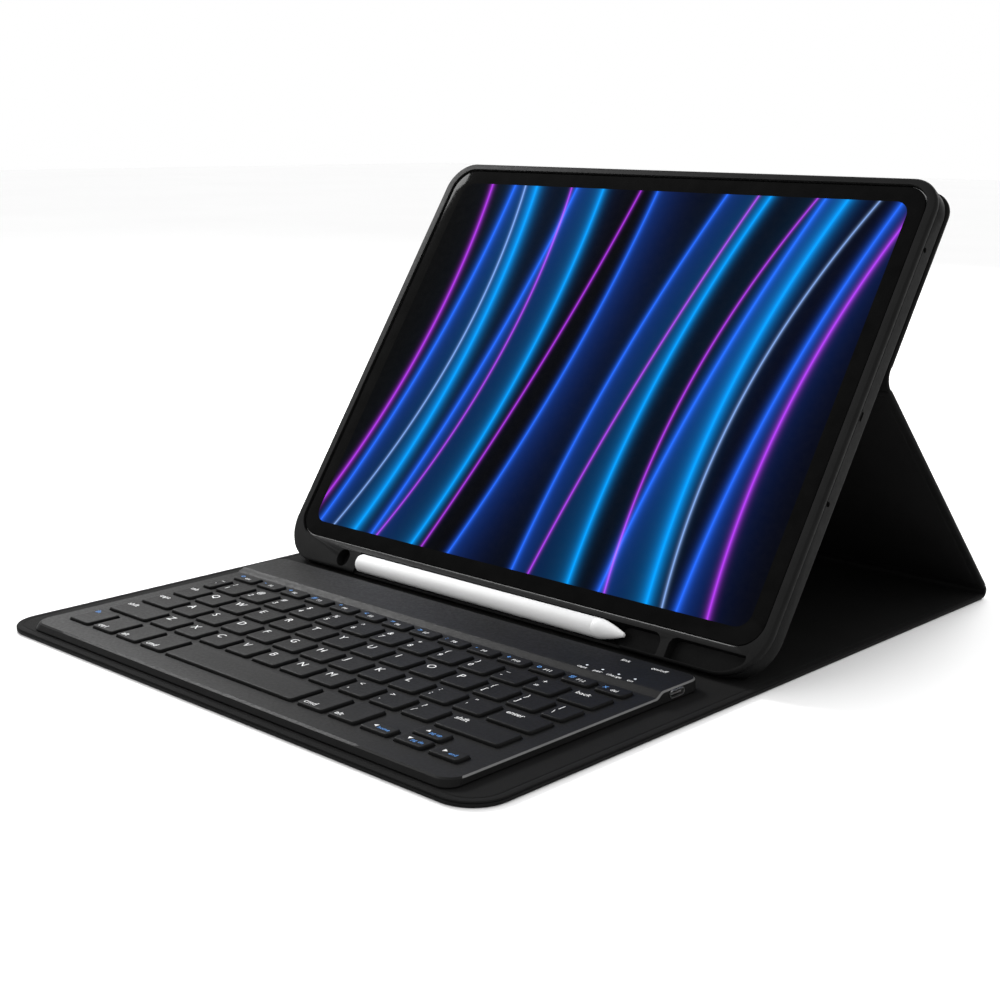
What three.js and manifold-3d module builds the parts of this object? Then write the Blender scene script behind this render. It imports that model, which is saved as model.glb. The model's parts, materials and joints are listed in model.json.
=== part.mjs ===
// A keyboard case for a large tablet, standing open on a table as a laptop does.
//
// Units are millimetres. +X is to the user's right, +Y points away from the user and +Z is up.
// The origin is the middle of the footprint, on the table.
//
// The cover is one flexible sheet with three stiffened panels: the base on the table, the leg that
// rises from the rear fold, and the back panel above the knee fold. A soft tray is glued to the
// back panel. It holds the tablet, and a stylus lies in the trough below the screen. A thin
// keyboard lies on the base in front of the tray.

import * as THREE from 'three';
import { mergeVertices } from 'three/addons/utils/BufferGeometryUtils.js';
import Module from 'manifold-3d';

const wasm = await Module();
wasm.setup();

// ---------------------------------------------------------------- driving dimensions

// Clearances.
const TURNED_GAP = 0.3; // between pieces that touch in the tilted groups
const REST_GAP = 0.1; // between pieces stacked level
const SLIDE_GAP = 0.25; // round a piece that slides in a hole

// Tablet and stylus that the case is made for.
const TABLET_WIDTH = 280.6;
const TABLET_HEIGHT = 214.9;
const TABLET_THICKNESS = 6.4;
const TABLET_CORNER = 12;
const GLASS_THICKNESS = 0.8;
const GLASS_INSET = 0.4;
const DISPLAY_BORDER = 8;
const DISPLAY_THICKNESS = 1.2;
const CAMERA_SIZE = 24;
const CAMERA_CORNER = 7;
const CAMERA_HEIGHT = 1.2;
const CAMERA_EDGE = 6; // from the tablet's edges to the camera bump
const STYLUS_LENGTH = 166;
const STYLUS_DIAMETER = 8.9;
const STYLUS_TIP_LENGTH = 16;
const STYLUS_POINT_RADIUS = 0.9;

// Cover sheet.
const COVER_WIDTH = 290;
const BASE_LENGTH = 356; // front edge to the rear fold line
const SKIN = 0.6;
const BOARD = 0.9;
const LINING = 0.6;
const LAYER_GAP = 0.2;
const EDGE_RIM = 4; // width of the welded edge round each board
const FOLD_MARGIN = 6; // unstiffened sheet on each side of a fold line
const CREASE_THICKNESS = 0.9;
const FRONT_CORNER = 16;
const FOLD_CORNER = 1.5;
const TOP_CORNER = 12;

// Tray.
const SCREEN_TILT = 56.5; // degrees from level
const SCREEN_SETBACK = 166; // front edge of the cover to the lower edge of the screen
const SCREEN_HEIGHT = 15.8; // table to the lower edge of the screen
const TRAY_SIDE = 4.7; // outer face to the tablet, at the left and right
const TRAY_TOP = 3.6;
const TRAY_STRIP = 13.3; // below the tablet, where the stylus lies
const TRAY_FLOOR = 3.2;
const TRAY_LIP = 0.8; // above the glass
const TRAY_CORNER = 15; // upper corners
const TRAY_FOOT_CORNER = 22; // lower corners
const TRAY_EDGE = 1.4; // bevel round both faces
const KNEE_RISE = 128; // lower edge of the screen to the knee fold, along the tray
const STYLUS_DROP = 7.3; // below the tablet
const STYLUS_DEPTH = 0.8; // axis behind the glass
const STYLUS_OFFSET = -6.6; // middle of the stylus, to the left of the centre
const TROUGH_WALL = 1.3; // below the stylus and round the recesses
const FINGER_LENGTH = 18.7;
const FINGER_DEPTH = 6;
const RECESS_START = 100;
const RECESS_DEPTH = 5.4;
const KEEPER_X = -100.5; // small oval hole beyond the stylus's blunt end
const KEEPER_WIDTH = 8;
const MICROPHONE_LENGTH = 4.4;
const MICROPHONE_HEIGHT = 1.6;
const SOUND_HOLE = 2.4; // diameter of the small holes in both side walls
const SOUND_HOLES_Y = [67.5, 186]; // above the lower edge of the screen
const WINDOW_MARGIN = 4.5; // round the camera bump

// Keyboard.
const KEYBOARD_WIDTH = 258;
const KEYBOARD_DEPTH = 142;
const KEYBOARD_SETBACK = 4; // front edge of the cover to the keyboard
const KEYBOARD_CORNER = 6;
const KEYBOARD_EDGE = 0.8;
const DECK_HEIGHT = 3.35; // above the cover
const DECK_THICKNESS = 0.7;
const CASE_WALL = 1.6;
const HUMP_HEIGHT = 5.3;
const HUMP_RAMP = 3;
const HUMP_DEPTH = 26; // flat top behind the ramp
const BOTTOM_PLATE = 0.5;
const KEY_PLATE = 0.3;
const KEY_PITCH = 17.6;
const ROW_PITCH = 17.2;
const KEY_GAP = 3;
const KEY_FIELD = 238.8; // left edge of the first key to the right edge of the last
const CAP_DEPTH = 13.9;
const SPACE_DEPTH = 17;
const FUNCTION_DEPTH = 7.7;
const ARROW_GAP = 1.6;
const SPACE_ROW_Y = 22.2; // front edge of the keyboard to the middle of the row
const FIRST_LETTER_ROW_Y = 41;
const FUNCTION_ROW_Y = 107.5;
const CAP_RISE = 1.3;
const CAP_CORNER = 1.4;
const CAP_FLANGE = 0.4;
const WEB = 0.3;
const FUNCTION_KEYS = 14;
const SPACE_UNITS = 4.75;

// Pieces in the raised rear part of the keyboard.
const BATTERY = { left: -118, right: 40, depth: 20, height: 3.4 };
const CIRCUIT = { left: 48, right: 120, depth: 20, height: 0.8 };
const USB = { width: 9, height: 3.2, length: 8, wall: 0.35, y: 126, z: 2.9 };
const BUTTON = { x: 95, width: 3.8, height: 1.8, proud: 0.7 };
const SWITCH = { x: 110.5, width: 2.8, height: 1.8, proud: 0.8, travel: 3 };
const CONTROL_Z = 2.9;
const CONTROL_FLANGE = 0.8;
const LIGHTS = { count: 4, first: 87, pitch: 8.2, y: 121.5, radius: 0.55, bar: 0.6 };
const SCREW = { head: 1.3, shank: 0.6, length: 1.5, boss: 1.8, inset: 4.8, front: 7, rear: 6 };

// Magnets in the base, which hold the keyboard and stop the tray.
const MAGNET = { length: 60, width: 8 };
const KEYBOARD_MAGNET_X = 80;
const KEYBOARD_MAGNET_Y = 70;
const STOP_MAGNET_LENGTH = 160;

// ---------------------------------------------------------------- derived sizes and places

const radians = THREE.MathUtils.degToRad;
const COVER_THICKNESS = SKIN + BOARD + LINING + 2 * LAYER_GAP;
const STYLUS_RADIUS = STYLUS_DIAMETER / 2;
const TILT = radians(SCREEN_TILT);

// Tray, in its own frame: Y runs up the screen and Z points out of it; 0 is the glass.
const TRAY_WIDTH = TABLET_WIDTH + 2 * TRAY_SIDE;
const TRAY_BOTTOM_Y = -TRAY_STRIP;
const TRAY_TOP_Y = TABLET_HEIGHT + TRAY_TOP;
const POCKET_Z = -TABLET_THICKNESS - TURNED_GAP;
const TRAY_BACK_Z = POCKET_Z - TRAY_FLOOR;
const PANEL_MID_Z = TRAY_BACK_Z - TURNED_GAP - COVER_THICKNESS / 2;
const TROUGH_RADIUS = STYLUS_RADIUS + TURNED_GAP;
const TROUGH_LEFT = STYLUS_OFFSET - STYLUS_LENGTH / 2 - 2 * TURNED_GAP;
const TROUGH_RIGHT = STYLUS_OFFSET + STYLUS_LENGTH / 2 + 2 * TURNED_GAP;
const TROUGH_TOP_Y = -STYLUS_DROP + TROUGH_RADIUS;
const WINDOW_SIZE = CAMERA_SIZE + 2 * WINDOW_MARGIN;
const CAMERA_X = -TABLET_WIDTH / 2 + CAMERA_EDGE + CAMERA_SIZE / 2;
const CAMERA_Y = TABLET_HEIGHT - CAMERA_EDGE - CAMERA_SIZE / 2;

// Side profile of the stand, as (y, z) points measured from the front edge on the table.
const screenFoot = new THREE.Vector2(SCREEN_SETBACK, SCREEN_HEIGHT);
const upScreen = new THREE.Vector2(Math.cos(TILT), Math.sin(TILT));
const outOfScreen = new THREE.Vector2(-Math.sin(TILT), Math.cos(TILT));
const rearFold = new THREE.Vector2(BASE_LENGTH, COVER_THICKNESS / 2);
const kneeFold = screenFoot.clone()
  .addScaledVector(upScreen, KNEE_RISE)
  .addScaledVector(outOfScreen, PANEL_MID_Z);
const leg = kneeFold.clone().sub(rearFold);
const LEG_LENGTH = leg.length();
const LEG_ANGLE = leg.angle();
const KNEE_ANGLE = LEG_ANGLE - TILT;

// A fold is an arc whose ends meet the two panels a fold margin from the fold line.
const REAR_BEND = FOLD_MARGIN / Math.tan(LEG_ANGLE / 2) + COVER_THICKNESS / 2;
const KNEE_BEND = FOLD_MARGIN / Math.tan(KNEE_ANGLE / 2) - COVER_THICKNESS / 2;
const FOOTPRINT_LENGTH = BASE_LENGTH - FOLD_MARGIN + REAR_BEND;

// Keyboard, in its own frame: Y is 0 at its front edge and Z is 0 on the cover.
const PLATE_TOP = REST_GAP + BOTTOM_PLATE;
const DECK_BOTTOM = DECK_HEIGHT - DECK_THICKNESS;
const CAP_BOTTOM = DECK_BOTTOM - REST_GAP - WEB;
const CAP_TOP = DECK_HEIGHT + CAP_RISE;
const HUMP_FRONT = KEYBOARD_DEPTH - HUMP_DEPTH - HUMP_RAMP;
const HUMP_CEILING = HUMP_HEIGHT - DECK_THICKNESS;
const BAY_FRONT = HUMP_FRONT + HUMP_RAMP + CASE_WALL / 2;
const REAR_WALL = KEYBOARD_DEPTH - CASE_WALL;
const FIELD_LEFT = -KEY_FIELD / 2;
const FIELD_RIGHT = KEY_FIELD / 2;

// ---------------------------------------------------------------- materials

const finish = (color, roughness, metalness = 0) =>
  new THREE.MeshStandardMaterial({ color, roughness, metalness });

const MATERIALS = {
  leather: finish(0x1f2022, 0.62),
  lining: finish(0x141416, 0.9),
  board: finish(0x8a7a62, 0.9),
  magnet: finish(0x8f9296, 0.35, 1),
  softShell: finish(0x2a2b2e, 0.55),
  aluminium: finish(0xa9abae, 0.35, 1),
  screenGlass: finish(0x050507, 0.05),
  display: finish(0x161a30, 0.3),
  stylus: finish(0xeeeeec, 0.25),
  keyboardCase: finish(0x1b1c1e, 0.5),
  keycap: finish(0x17181a, 0.55),
  steel: finish(0x6e7073, 0.35, 1),
  battery: finish(0x3b3f46, 0.6),
  circuitBoard: finish(0x12402a, 0.5),
  lightPipe: finish(0xdfe6ea, 0.3),
  camera: finish(0x2c2d31, 0.3, 1),
};

// ---------------------------------------------------------------- shape tools

const { PI } = Math;

/** A rectangle with a radius at each corner: front left, front right, rear right, rear left. */
function roundedRectangle(left, right, front, rear, radii) {
  const [fl, fr, rr, rl] = Array.isArray(radii) ? radii : [radii, radii, radii, radii];
  const shape = new THREE.Shape();
  shape.moveTo(left + fl, front);
  shape.lineTo(right - fr, front);
  if (fr > 0) shape.absarc(right - fr, front + fr, fr, -PI / 2, 0, false);
  shape.lineTo(right, rear - rr);
  if (rr > 0) shape.absarc(right - rr, rear - rr, rr, 0, PI / 2, false);
  shape.lineTo(left + rl, rear);
  if (rl > 0) shape.absarc(left + rl, rear - rl, rl, PI / 2, PI, false);
  shape.lineTo(left, front + fl);
  if (fl > 0) shape.absarc(left + fl, front + fl, fl, PI, 1.5 * PI, false);
  return shape;
}

const centred = (x, y, width, height, radius = 0) =>
  roundedRectangle(x - width / 2, x + width / 2, y - height / 2, y + height / 2, radius);

/** A flat slab of the given outline between two heights. */
function slab(shape, bottom, top, curveSegments = 5) {
  const geometry = new THREE.ExtrudeGeometry(shape, {
    depth: top - bottom,
    bevelEnabled: false,
    curveSegments,
  });
  return geometry.translate(0, 0, bottom);
}

const SIDEWAYS = new THREE.Matrix4().makeBasis(
  new THREE.Vector3(0, 1, 0),
  new THREE.Vector3(0, 0, 1),
  new THREE.Vector3(1, 0, 0),
);

/** A bar along X, whose shape is drawn in the Y-Z plane. */
const barAlongX = (shape, left, right, curveSegments = 5) =>
  slab(shape, left, right, curveSegments).applyMatrix4(SIDEWAYS);

function box(x0, x1, y0, y1, z0, z1) {
  const geometry = new THREE.BoxGeometry(x1 - x0, y1 - y0, z1 - z0);
  return geometry.translate((x0 + x1) / 2, (y0 + y1) / 2, (z0 + z1) / 2);
}

/** A solid of revolution about +Z, from [radius, height] pairs that start and end on the axis. */
function turned(profile, segments = 12) {
  const points = profile.map(([radius, height]) => new THREE.Vector2(radius, height));
  return new THREE.LatheGeometry(points, segments).rotateX(PI / 2);
}

function polygon(points) {
  return new THREE.Shape(points.map(([a, b]) => new THREE.Vector2(a, b)));
}

function disc(x, y, radius, segments) {
  const angles = Array.from({ length: segments }, (_, index) => (2 * PI * index) / segments);
  return polygon(angles.map((angle) => [x + radius * Math.cos(angle), y + radius * Math.sin(angle)]));
}

function toSolid(geometry) {
  const bare = geometry.clone();
  bare.deleteAttribute('normal');
  bare.deleteAttribute('uv');
  const merged = mergeVertices(bare, 1e-5);
  return new wasm.Manifold(new wasm.Mesh({
    numProp: 3,
    vertProperties: new Float32Array(merged.attributes.position.array),
    triVerts: new Uint32Array(merged.index.array),
  }));
}

function toGeometry(solid) {
  const { vertProperties, triVerts } = solid.getMesh();
  const geometry = new THREE.BufferGeometry();
  geometry.setAttribute('position', new THREE.BufferAttribute(vertProperties, 3));
  geometry.setIndex(new THREE.BufferAttribute(triVerts, 1));
  geometry.computeVertexNormals();
  return geometry;
}

const combine = (method, first, rest) =>
  toGeometry(rest.reduce((solid, next) => solid[method](toSolid(next)), toSolid(first)));

const join = (first, ...rest) => combine('add', first, rest);
const cut = (first, ...rest) => combine('subtract', first, rest);
const common = (first, ...rest) => combine('intersect', first, rest);

function piece(name, geometry, material) {
  const mesh = new THREE.Mesh(geometry, MATERIALS[material]);
  mesh.name = name;
  return mesh;
}

// ---------------------------------------------------------------- cover

/**
 * A stiffened panel: an outer skin with a rim round its edge, a board in the rim, and a lining.
 * `outline` gives the panel's shape, drawn in from its edge by a distance; `middle` is the height
 * of the middle of its thickness; `window` is a hole through skin and lining, and a larger notch
 * in the board.
 */
function coverPanel(outline, middle, window = null) {
  const bottom = middle - COVER_THICKNESS / 2;
  const boardBottom = bottom + SKIN + LAYER_GAP;
  const boardTop = boardBottom + BOARD;
  const top = bottom + COVER_THICKNESS;
  const skin = cut(
    slab(outline(0), bottom, boardTop),
    slab(outline(EDGE_RIM), bottom + SKIN, top),
  );
  const layers = {
    skin,
    board: slab(outline(EDGE_RIM + TURNED_GAP), boardBottom, boardTop),
    lining: slab(outline(0), boardTop + LAYER_GAP, top),
  };
  if (window) {
    const through = (shape) => slab(shape, bottom - 1, top + 1);
    layers.skin = cut(layers.skin, through(window.hole));
    layers.board = cut(layers.board, through(window.notch));
    layers.lining = cut(layers.lining, through(window.hole));
  }
  return layers;
}

function baseOutline(inset) {
  const corner = FRONT_CORNER - inset;
  const fold = Math.max(FOLD_CORNER - inset, 0);
  return roundedRectangle(
    -COVER_WIDTH / 2 + inset, COVER_WIDTH / 2 - inset,
    inset, BASE_LENGTH - FOLD_MARGIN - inset,
    [corner, corner, fold, fold],
  );
}

function legOutline(inset) {
  return roundedRectangle(
    -COVER_WIDTH / 2 + inset, COVER_WIDTH / 2 - inset,
    FOLD_MARGIN + inset, LEG_LENGTH - FOLD_MARGIN - inset,
    Math.max(FOLD_CORNER - inset, 0),
  );
}

function backOutline(inset) {
  const corner = TOP_CORNER - inset;
  const fold = Math.max(FOLD_CORNER - inset, 0);
  return roundedRectangle(
    -COVER_WIDTH / 2 + inset, COVER_WIDTH / 2 - inset,
    KNEE_RISE + FOLD_MARGIN + inset, TRAY_TOP_Y - inset,
    [fold, fold, corner, corner],
  );
}

/** The strip of sheet that bends round a fold, as an arc in the side profile. */
function creaseStrip(centre, inner, outer, start, sweep) {
  const trim = TURNED_GAP / inner;
  const from = start + Math.sign(sweep) * trim;
  const to = start + sweep - Math.sign(sweep) * trim;
  const shape = new THREE.Shape();
  shape.absarc(centre.x, centre.y, outer, from, to, sweep < 0);
  shape.absarc(centre.x, centre.y, inner, to, from, sweep > 0);
  return barAlongX(shape, -COVER_WIDTH / 2, COVER_WIDTH / 2, 8);
}

function makeBase() {
  const group = new THREE.Group();
  const middle = COVER_THICKNESS / 2;
  const { skin, board, lining } = coverPanel(baseOutline, middle);

  const magnetBottom = SKIN + LAYER_GAP;
  const magnets = {
    keyboard_magnet_left: [-KEYBOARD_MAGNET_X, KEYBOARD_MAGNET_Y, MAGNET.length],
    keyboard_magnet_right: [KEYBOARD_MAGNET_X, KEYBOARD_MAGNET_Y, MAGNET.length],
    tray_stop_magnet: [0, SCREEN_SETBACK, STOP_MAGNET_LENGTH],
  };
  const pockets = Object.values(magnets).map(([x, y, length]) => slab(
    centred(x, y, length + 2 * TURNED_GAP, MAGNET.width + 2 * TURNED_GAP),
    magnetBottom - 1, magnetBottom + BOARD + 1,
  ));
  group.add(piece('base_skin', skin, 'leather'));
  group.add(piece('base_board', cut(board, ...pockets), 'board'));
  group.add(piece('base_lining', lining, 'lining'));
  for (const [name, [x, y, length]] of Object.entries(magnets)) {
    const bar = slab(centred(x, y, length, MAGNET.width), magnetBottom, magnetBottom + BOARD);
    group.add(piece(name, bar, 'magnet'));
  }

  const centre = new THREE.Vector2(BASE_LENGTH - FOLD_MARGIN, REAR_BEND);
  const strip = creaseStrip(centre, REAR_BEND - CREASE_THICKNESS, REAR_BEND, -PI / 2, LEG_ANGLE);
  group.add(piece('rear_crease', strip, 'leather'));
  return group;
}

function makeLeg() {
  const group = new THREE.Group();
  group.position.set(0, rearFold.x, rearFold.y);
  group.rotation.x = LEG_ANGLE;
  const { skin, board, lining } = coverPanel(legOutline, 0);
  group.add(piece('leg_skin', skin, 'leather'));
  group.add(piece('leg_board', board, 'board'));
  group.add(piece('leg_lining', lining, 'lining'));

  // The knee bends the other way, so its arc is centred behind the leg's outer face.
  const centre = new THREE.Vector2(LEG_LENGTH - FOLD_MARGIN, -COVER_THICKNESS / 2 - KNEE_BEND);
  const strip = creaseStrip(centre, KNEE_BEND, KNEE_BEND + CREASE_THICKNESS, PI / 2, -KNEE_ANGLE);
  group.add(piece('knee_crease', strip, 'leather'));
  return group;
}

// ---------------------------------------------------------------- tray and back panel

/** A slot along X through a side wall of the tray. */
function sideSlot(y, length, height, side) {
  const middle = -TABLET_THICKNESS / 2;
  const shape = centred(y, middle, length, height, height / 2 - 0.01);
  const inner = TABLET_WIDTH / 2 - 1;
  const outer = TRAY_WIDTH / 2 + 1;
  return side > 0 ? barAlongX(shape, inner, outer, 3) : barAlongX(shape, -outer, -inner, 3);
}

const cameraHole = () =>
  centred(CAMERA_X, CAMERA_Y, WINDOW_SIZE, WINDOW_SIZE, CAMERA_CORNER + WINDOW_MARGIN);

/** The board stops short of the camera hole and leaves the corner beyond it open. */
const cameraNotch = () => roundedRectangle(
  -COVER_WIDTH, CAMERA_X + WINDOW_SIZE / 2 + EDGE_RIM / 2,
  CAMERA_Y - WINDOW_SIZE / 2 - EDGE_RIM / 2, 2 * TRAY_TOP_Y,
  [0, CAMERA_CORNER, 0, 0],
);

function makeTray() {
  const front = TRAY_LIP;
  const outline = roundedRectangle(
    -TRAY_WIDTH / 2, TRAY_WIDTH / 2, TRAY_BOTTOM_Y, TRAY_TOP_Y,
    [TRAY_FOOT_CORNER, TRAY_FOOT_CORNER, TRAY_CORNER, TRAY_CORNER],
  );
  const shell = new THREE.ExtrudeGeometry(outline, {
    depth: front - TRAY_BACK_Z - 2 * TRAY_EDGE,
    bevelThickness: TRAY_EDGE,
    bevelSize: TRAY_EDGE,
    bevelOffset: -TRAY_EDGE,
    bevelSegments: 2,
    curveSegments: 6,
  }).translate(0, 0, TRAY_BACK_Z + TRAY_EDGE);

  const above = front + 1;
  const pocket = slab(roundedRectangle(
    -TABLET_WIDTH / 2 - TURNED_GAP, TABLET_WIDTH / 2 + TURNED_GAP,
    -TURNED_GAP, TABLET_HEIGHT + TURNED_GAP,
    TABLET_CORNER + TURNED_GAP,
  ), POCKET_Z, above);

  // The trough is a half round below the stylus's axis, and open to the front and below above it.
  const round = disc(-STYLUS_DROP, -STYLUS_DEPTH, TROUGH_RADIUS, 24);
  const trough = barAlongX(round, TROUGH_LEFT, TROUGH_RIGHT);
  const mouth = box(
    TROUGH_LEFT, TROUGH_RIGHT, TRAY_BOTTOM_Y - 1, TROUGH_TOP_Y, -STYLUS_DEPTH, above,
  );
  const finger = slab(roundedRectangle(
    TROUGH_RIGHT - 6, TROUGH_RIGHT + FINGER_LENGTH,
    TRAY_BOTTOM_Y + TROUGH_WALL, TROUGH_TOP_Y, [0, 0, 4, 4],
  ), front - FINGER_DEPTH, above);
  // The recess follows the tray's corner, and leaves a wall round it.
  const sideWall = 2 * TROUGH_WALL;
  const recess = common(
    slab(roundedRectangle(
      RECESS_START, TRAY_WIDTH / 2 - sideWall,
      TRAY_BOTTOM_Y + TROUGH_WALL, TROUGH_TOP_Y, [1, 0, 1, 3],
    ), front - RECESS_DEPTH, above),
    slab(roundedRectangle(
      0, TRAY_WIDTH / 2 - sideWall, TRAY_BOTTOM_Y + TROUGH_WALL, TRAY_TOP_Y,
      [0, TRAY_FOOT_CORNER - sideWall, 0, 0],
    ), front - RECESS_DEPTH - 1, above + 1),
  );
  const keeper = slab(centred(
    KEEPER_X, -STYLUS_DROP, KEEPER_WIDTH, 2 * STYLUS_RADIUS, KEEPER_WIDTH / 2 - 0.01,
  ), front - RECESS_DEPTH, above);

  // The rear lower edge is cut level, so that the tray stands on the cover.
  const level = box(-TRAY_WIDTH, TRAY_WIDTH, -60, 60, -60, 0);
  level.translate(0, 0, COVER_THICKNESS + TURNED_GAP - SCREEN_HEIGHT).rotateX(-TILT);

  const slots = [sideSlot(TABLET_HEIGHT / 2, MICROPHONE_LENGTH, MICROPHONE_HEIGHT, 1)];
  for (const side of [-1, 1]) {
    for (const y of SOUND_HOLES_Y) slots.push(sideSlot(y, SOUND_HOLE, SOUND_HOLE, side));
  }
  const window = slab(cameraHole(), TRAY_BACK_Z - 1, POCKET_Z + 1);
  const cuts = [pocket, trough, mouth, finger, recess, keeper, level, window, ...slots];
  return piece('tablet_tray', cut(shell, ...cuts), 'softShell');
}

function makeTablet() {
  const outline = (inset) => roundedRectangle(
    -TABLET_WIDTH / 2 + inset, TABLET_WIDTH / 2 - inset, inset, TABLET_HEIGHT - inset,
    TABLET_CORNER - inset,
  );
  const seat = -GLASS_THICKNESS - TURNED_GAP;
  const well = seat - DISPLAY_THICKNESS - TURNED_GAP;
  const body = cut(
    slab(outline(0), -TABLET_THICKNESS, seat),
    slab(outline(DISPLAY_BORDER - TURNED_GAP), well, seat + 1),
  );
  const display = slab(
    outline(DISPLAY_BORDER), well + TURNED_GAP, well + TURNED_GAP + DISPLAY_THICKNESS,
  );
  const camera = slab(
    centred(CAMERA_X, CAMERA_Y, CAMERA_SIZE, CAMERA_SIZE, CAMERA_CORNER),
    -TABLET_THICKNESS - TURNED_GAP - CAMERA_HEIGHT, -TABLET_THICKNESS - TURNED_GAP,
  );
  return [
    piece('tablet_body', body, 'aluminium'),
    piece('tablet_display', display, 'display'),
    piece('tablet_glass', slab(outline(GLASS_INSET), -GLASS_THICKNESS, 0), 'screenGlass'),
    piece('tablet_camera', camera, 'camera'),
  ];
}

function makeStylus() {
  const group = new THREE.Group();
  const barrelLength = STYLUS_LENGTH - STYLUS_TIP_LENGTH;
  group.position.set(STYLUS_OFFSET - STYLUS_LENGTH / 2, -STYLUS_DROP, -STYLUS_DEPTH);
  group.rotation.y = PI / 2;
  const crown = 2;
  group.add(piece('stylus_barrel', turned([
    [0, 0],
    [STYLUS_RADIUS - crown, 0],
    [STYLUS_RADIUS, crown],
    [STYLUS_RADIUS, barrelLength],
    [0, barrelLength],
  ], 16), 'stylus'));
  group.add(piece('stylus_tip', turned([
    [0, barrelLength + TURNED_GAP],
    [STYLUS_RADIUS, barrelLength + TURNED_GAP],
    [STYLUS_POINT_RADIUS, STYLUS_LENGTH - STYLUS_POINT_RADIUS],
    [0, STYLUS_LENGTH],
  ], 16), 'stylus'));
  return group;
}

function makeScreenSide() {
  const group = new THREE.Group();
  group.position.set(0, screenFoot.x, screenFoot.y);
  group.rotation.x = TILT;
  const window = { hole: cameraHole(), notch: cameraNotch() };
  const { skin, board, lining } = coverPanel(backOutline, PANEL_MID_Z, window);
  group.add(piece('back_skin', skin, 'leather'));
  group.add(piece('back_board', board, 'board'));
  group.add(piece('back_lining', lining, 'lining'));
  group.add(makeTray(), ...makeTablet(), makeStylus());
  return group;
}

// ---------------------------------------------------------------- keys

/** One key's cap as { x, y, width, depth }, where x and y are the middle. */
const cap = (left, right, y, depth) => ({ x: (left + right) / 2, y, width: right - left, depth });

/**
 * A row of caps from the left edge of the key field. Widths are in key units, and a last width of
 * null fills the row to the right edge of the field.
 */
function capRow(y, depth, units) {
  let left = FIELD_LEFT;
  return units.map((unit) => {
    const right = unit === null ? FIELD_RIGHT : left + unit * KEY_PITCH - KEY_GAP;
    const next = cap(left, right, y, depth);
    left = right + KEY_GAP;
    return next;
  });
}

const single = (count) => Array(count).fill(1);

function keyGroups() {
  const rowY = (index) => FIRST_LETTER_ROW_Y + index * ROW_PITCH;
  const shiftRow = capRow(rowY(0), CAP_DEPTH, [1.75, ...single(10), null]);
  const homeRow = capRow(rowY(1), CAP_DEPTH, [1.3, ...single(11), null]);
  const topRow = capRow(rowY(2), CAP_DEPTH, [0.95, ...single(12), null]);
  const numberRow = capRow(rowY(3), CAP_DEPTH, [0.55, ...single(12), null]);
  const functionUnit = (KEY_FIELD + KEY_GAP) / FUNCTION_KEYS / KEY_PITCH;
  const functionRow = capRow(
    FUNCTION_ROW_Y, FUNCTION_DEPTH, Array(FUNCTION_KEYS).fill(functionUnit),
  );
  const spaceRow = capRow(SPACE_ROW_Y, SPACE_DEPTH, [...single(4), SPACE_UNITS, ...single(4), null]);
  const [leftArrow, upDown, rightArrow] = spaceRow.slice(7);

  // The arrows are half height: left, down and right in the front half, and up behind down.
  const halfDepth = (SPACE_DEPTH - ARROW_GAP) / 2;
  const frontHalf = SPACE_ROW_Y - (halfDepth + ARROW_GAP) / 2;
  const rearHalf = SPACE_ROW_Y + (halfDepth + ARROW_GAP) / 2;
  const half = (key, y) => ({ ...key, y, depth: halfDepth });

  return {
    function_keys: functionRow,
    number_keys: numberRow.slice(0, -1),
    backspace_key: numberRow.slice(-1),
    tab_key: topRow.slice(0, 1),
    upper_letter_keys: topRow.slice(1),
    caps_lock_key: homeRow.slice(0, 1),
    home_letter_keys: homeRow.slice(1, -1),
    enter_key: homeRow.slice(-1),
    left_shift_key: shiftRow.slice(0, 1),
    lower_letter_keys: shiftRow.slice(1, -1),
    right_shift_key: shiftRow.slice(-1),
    left_modifier_keys: spaceRow.slice(0, 4),
    space_bar: spaceRow.slice(4, 5),
    right_modifier_keys: spaceRow.slice(5, 7),
    left_arrow_key: [half(leftArrow, frontHalf)],
    up_arrow_key: [half(upDown, rearHalf)],
    down_arrow_key: [half(upDown, frontHalf)],
    right_arrow_key: [half(rightArrow, frontHalf)],
  };
}

/** Caps that stand on one thin web below the deck, which keeps them in their holes. */
function keySolid(caps) {
  const [first, last] = [caps[0], caps[caps.length - 1]];
  const web = box(
    first.x - first.width / 2 - CAP_FLANGE, last.x + last.width / 2 + CAP_FLANGE,
    first.y - first.depth / 2 - CAP_FLANGE, first.y + first.depth / 2 + CAP_FLANGE,
    CAP_BOTTOM, CAP_BOTTOM + WEB,
  );
  const tops = caps.map(({ x, y, width, depth }) =>
    slab(centred(x, y, width, depth, CAP_CORNER), CAP_BOTTOM, CAP_TOP, 1));
  return join(web, ...tops);
}

// ---------------------------------------------------------------- keyboard

const SCREW_PLACES = [
  [-KEYBOARD_WIDTH / 2 + SCREW.inset, SCREW.front],
  [KEYBOARD_WIDTH / 2 - SCREW.inset, SCREW.front],
  [-KEYBOARD_WIDTH / 2 + SCREW.inset, KEYBOARD_DEPTH - SCREW.rear],
  [KEYBOARD_WIDTH / 2 - SCREW.inset, KEYBOARD_DEPTH - SCREW.rear],
];

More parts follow.
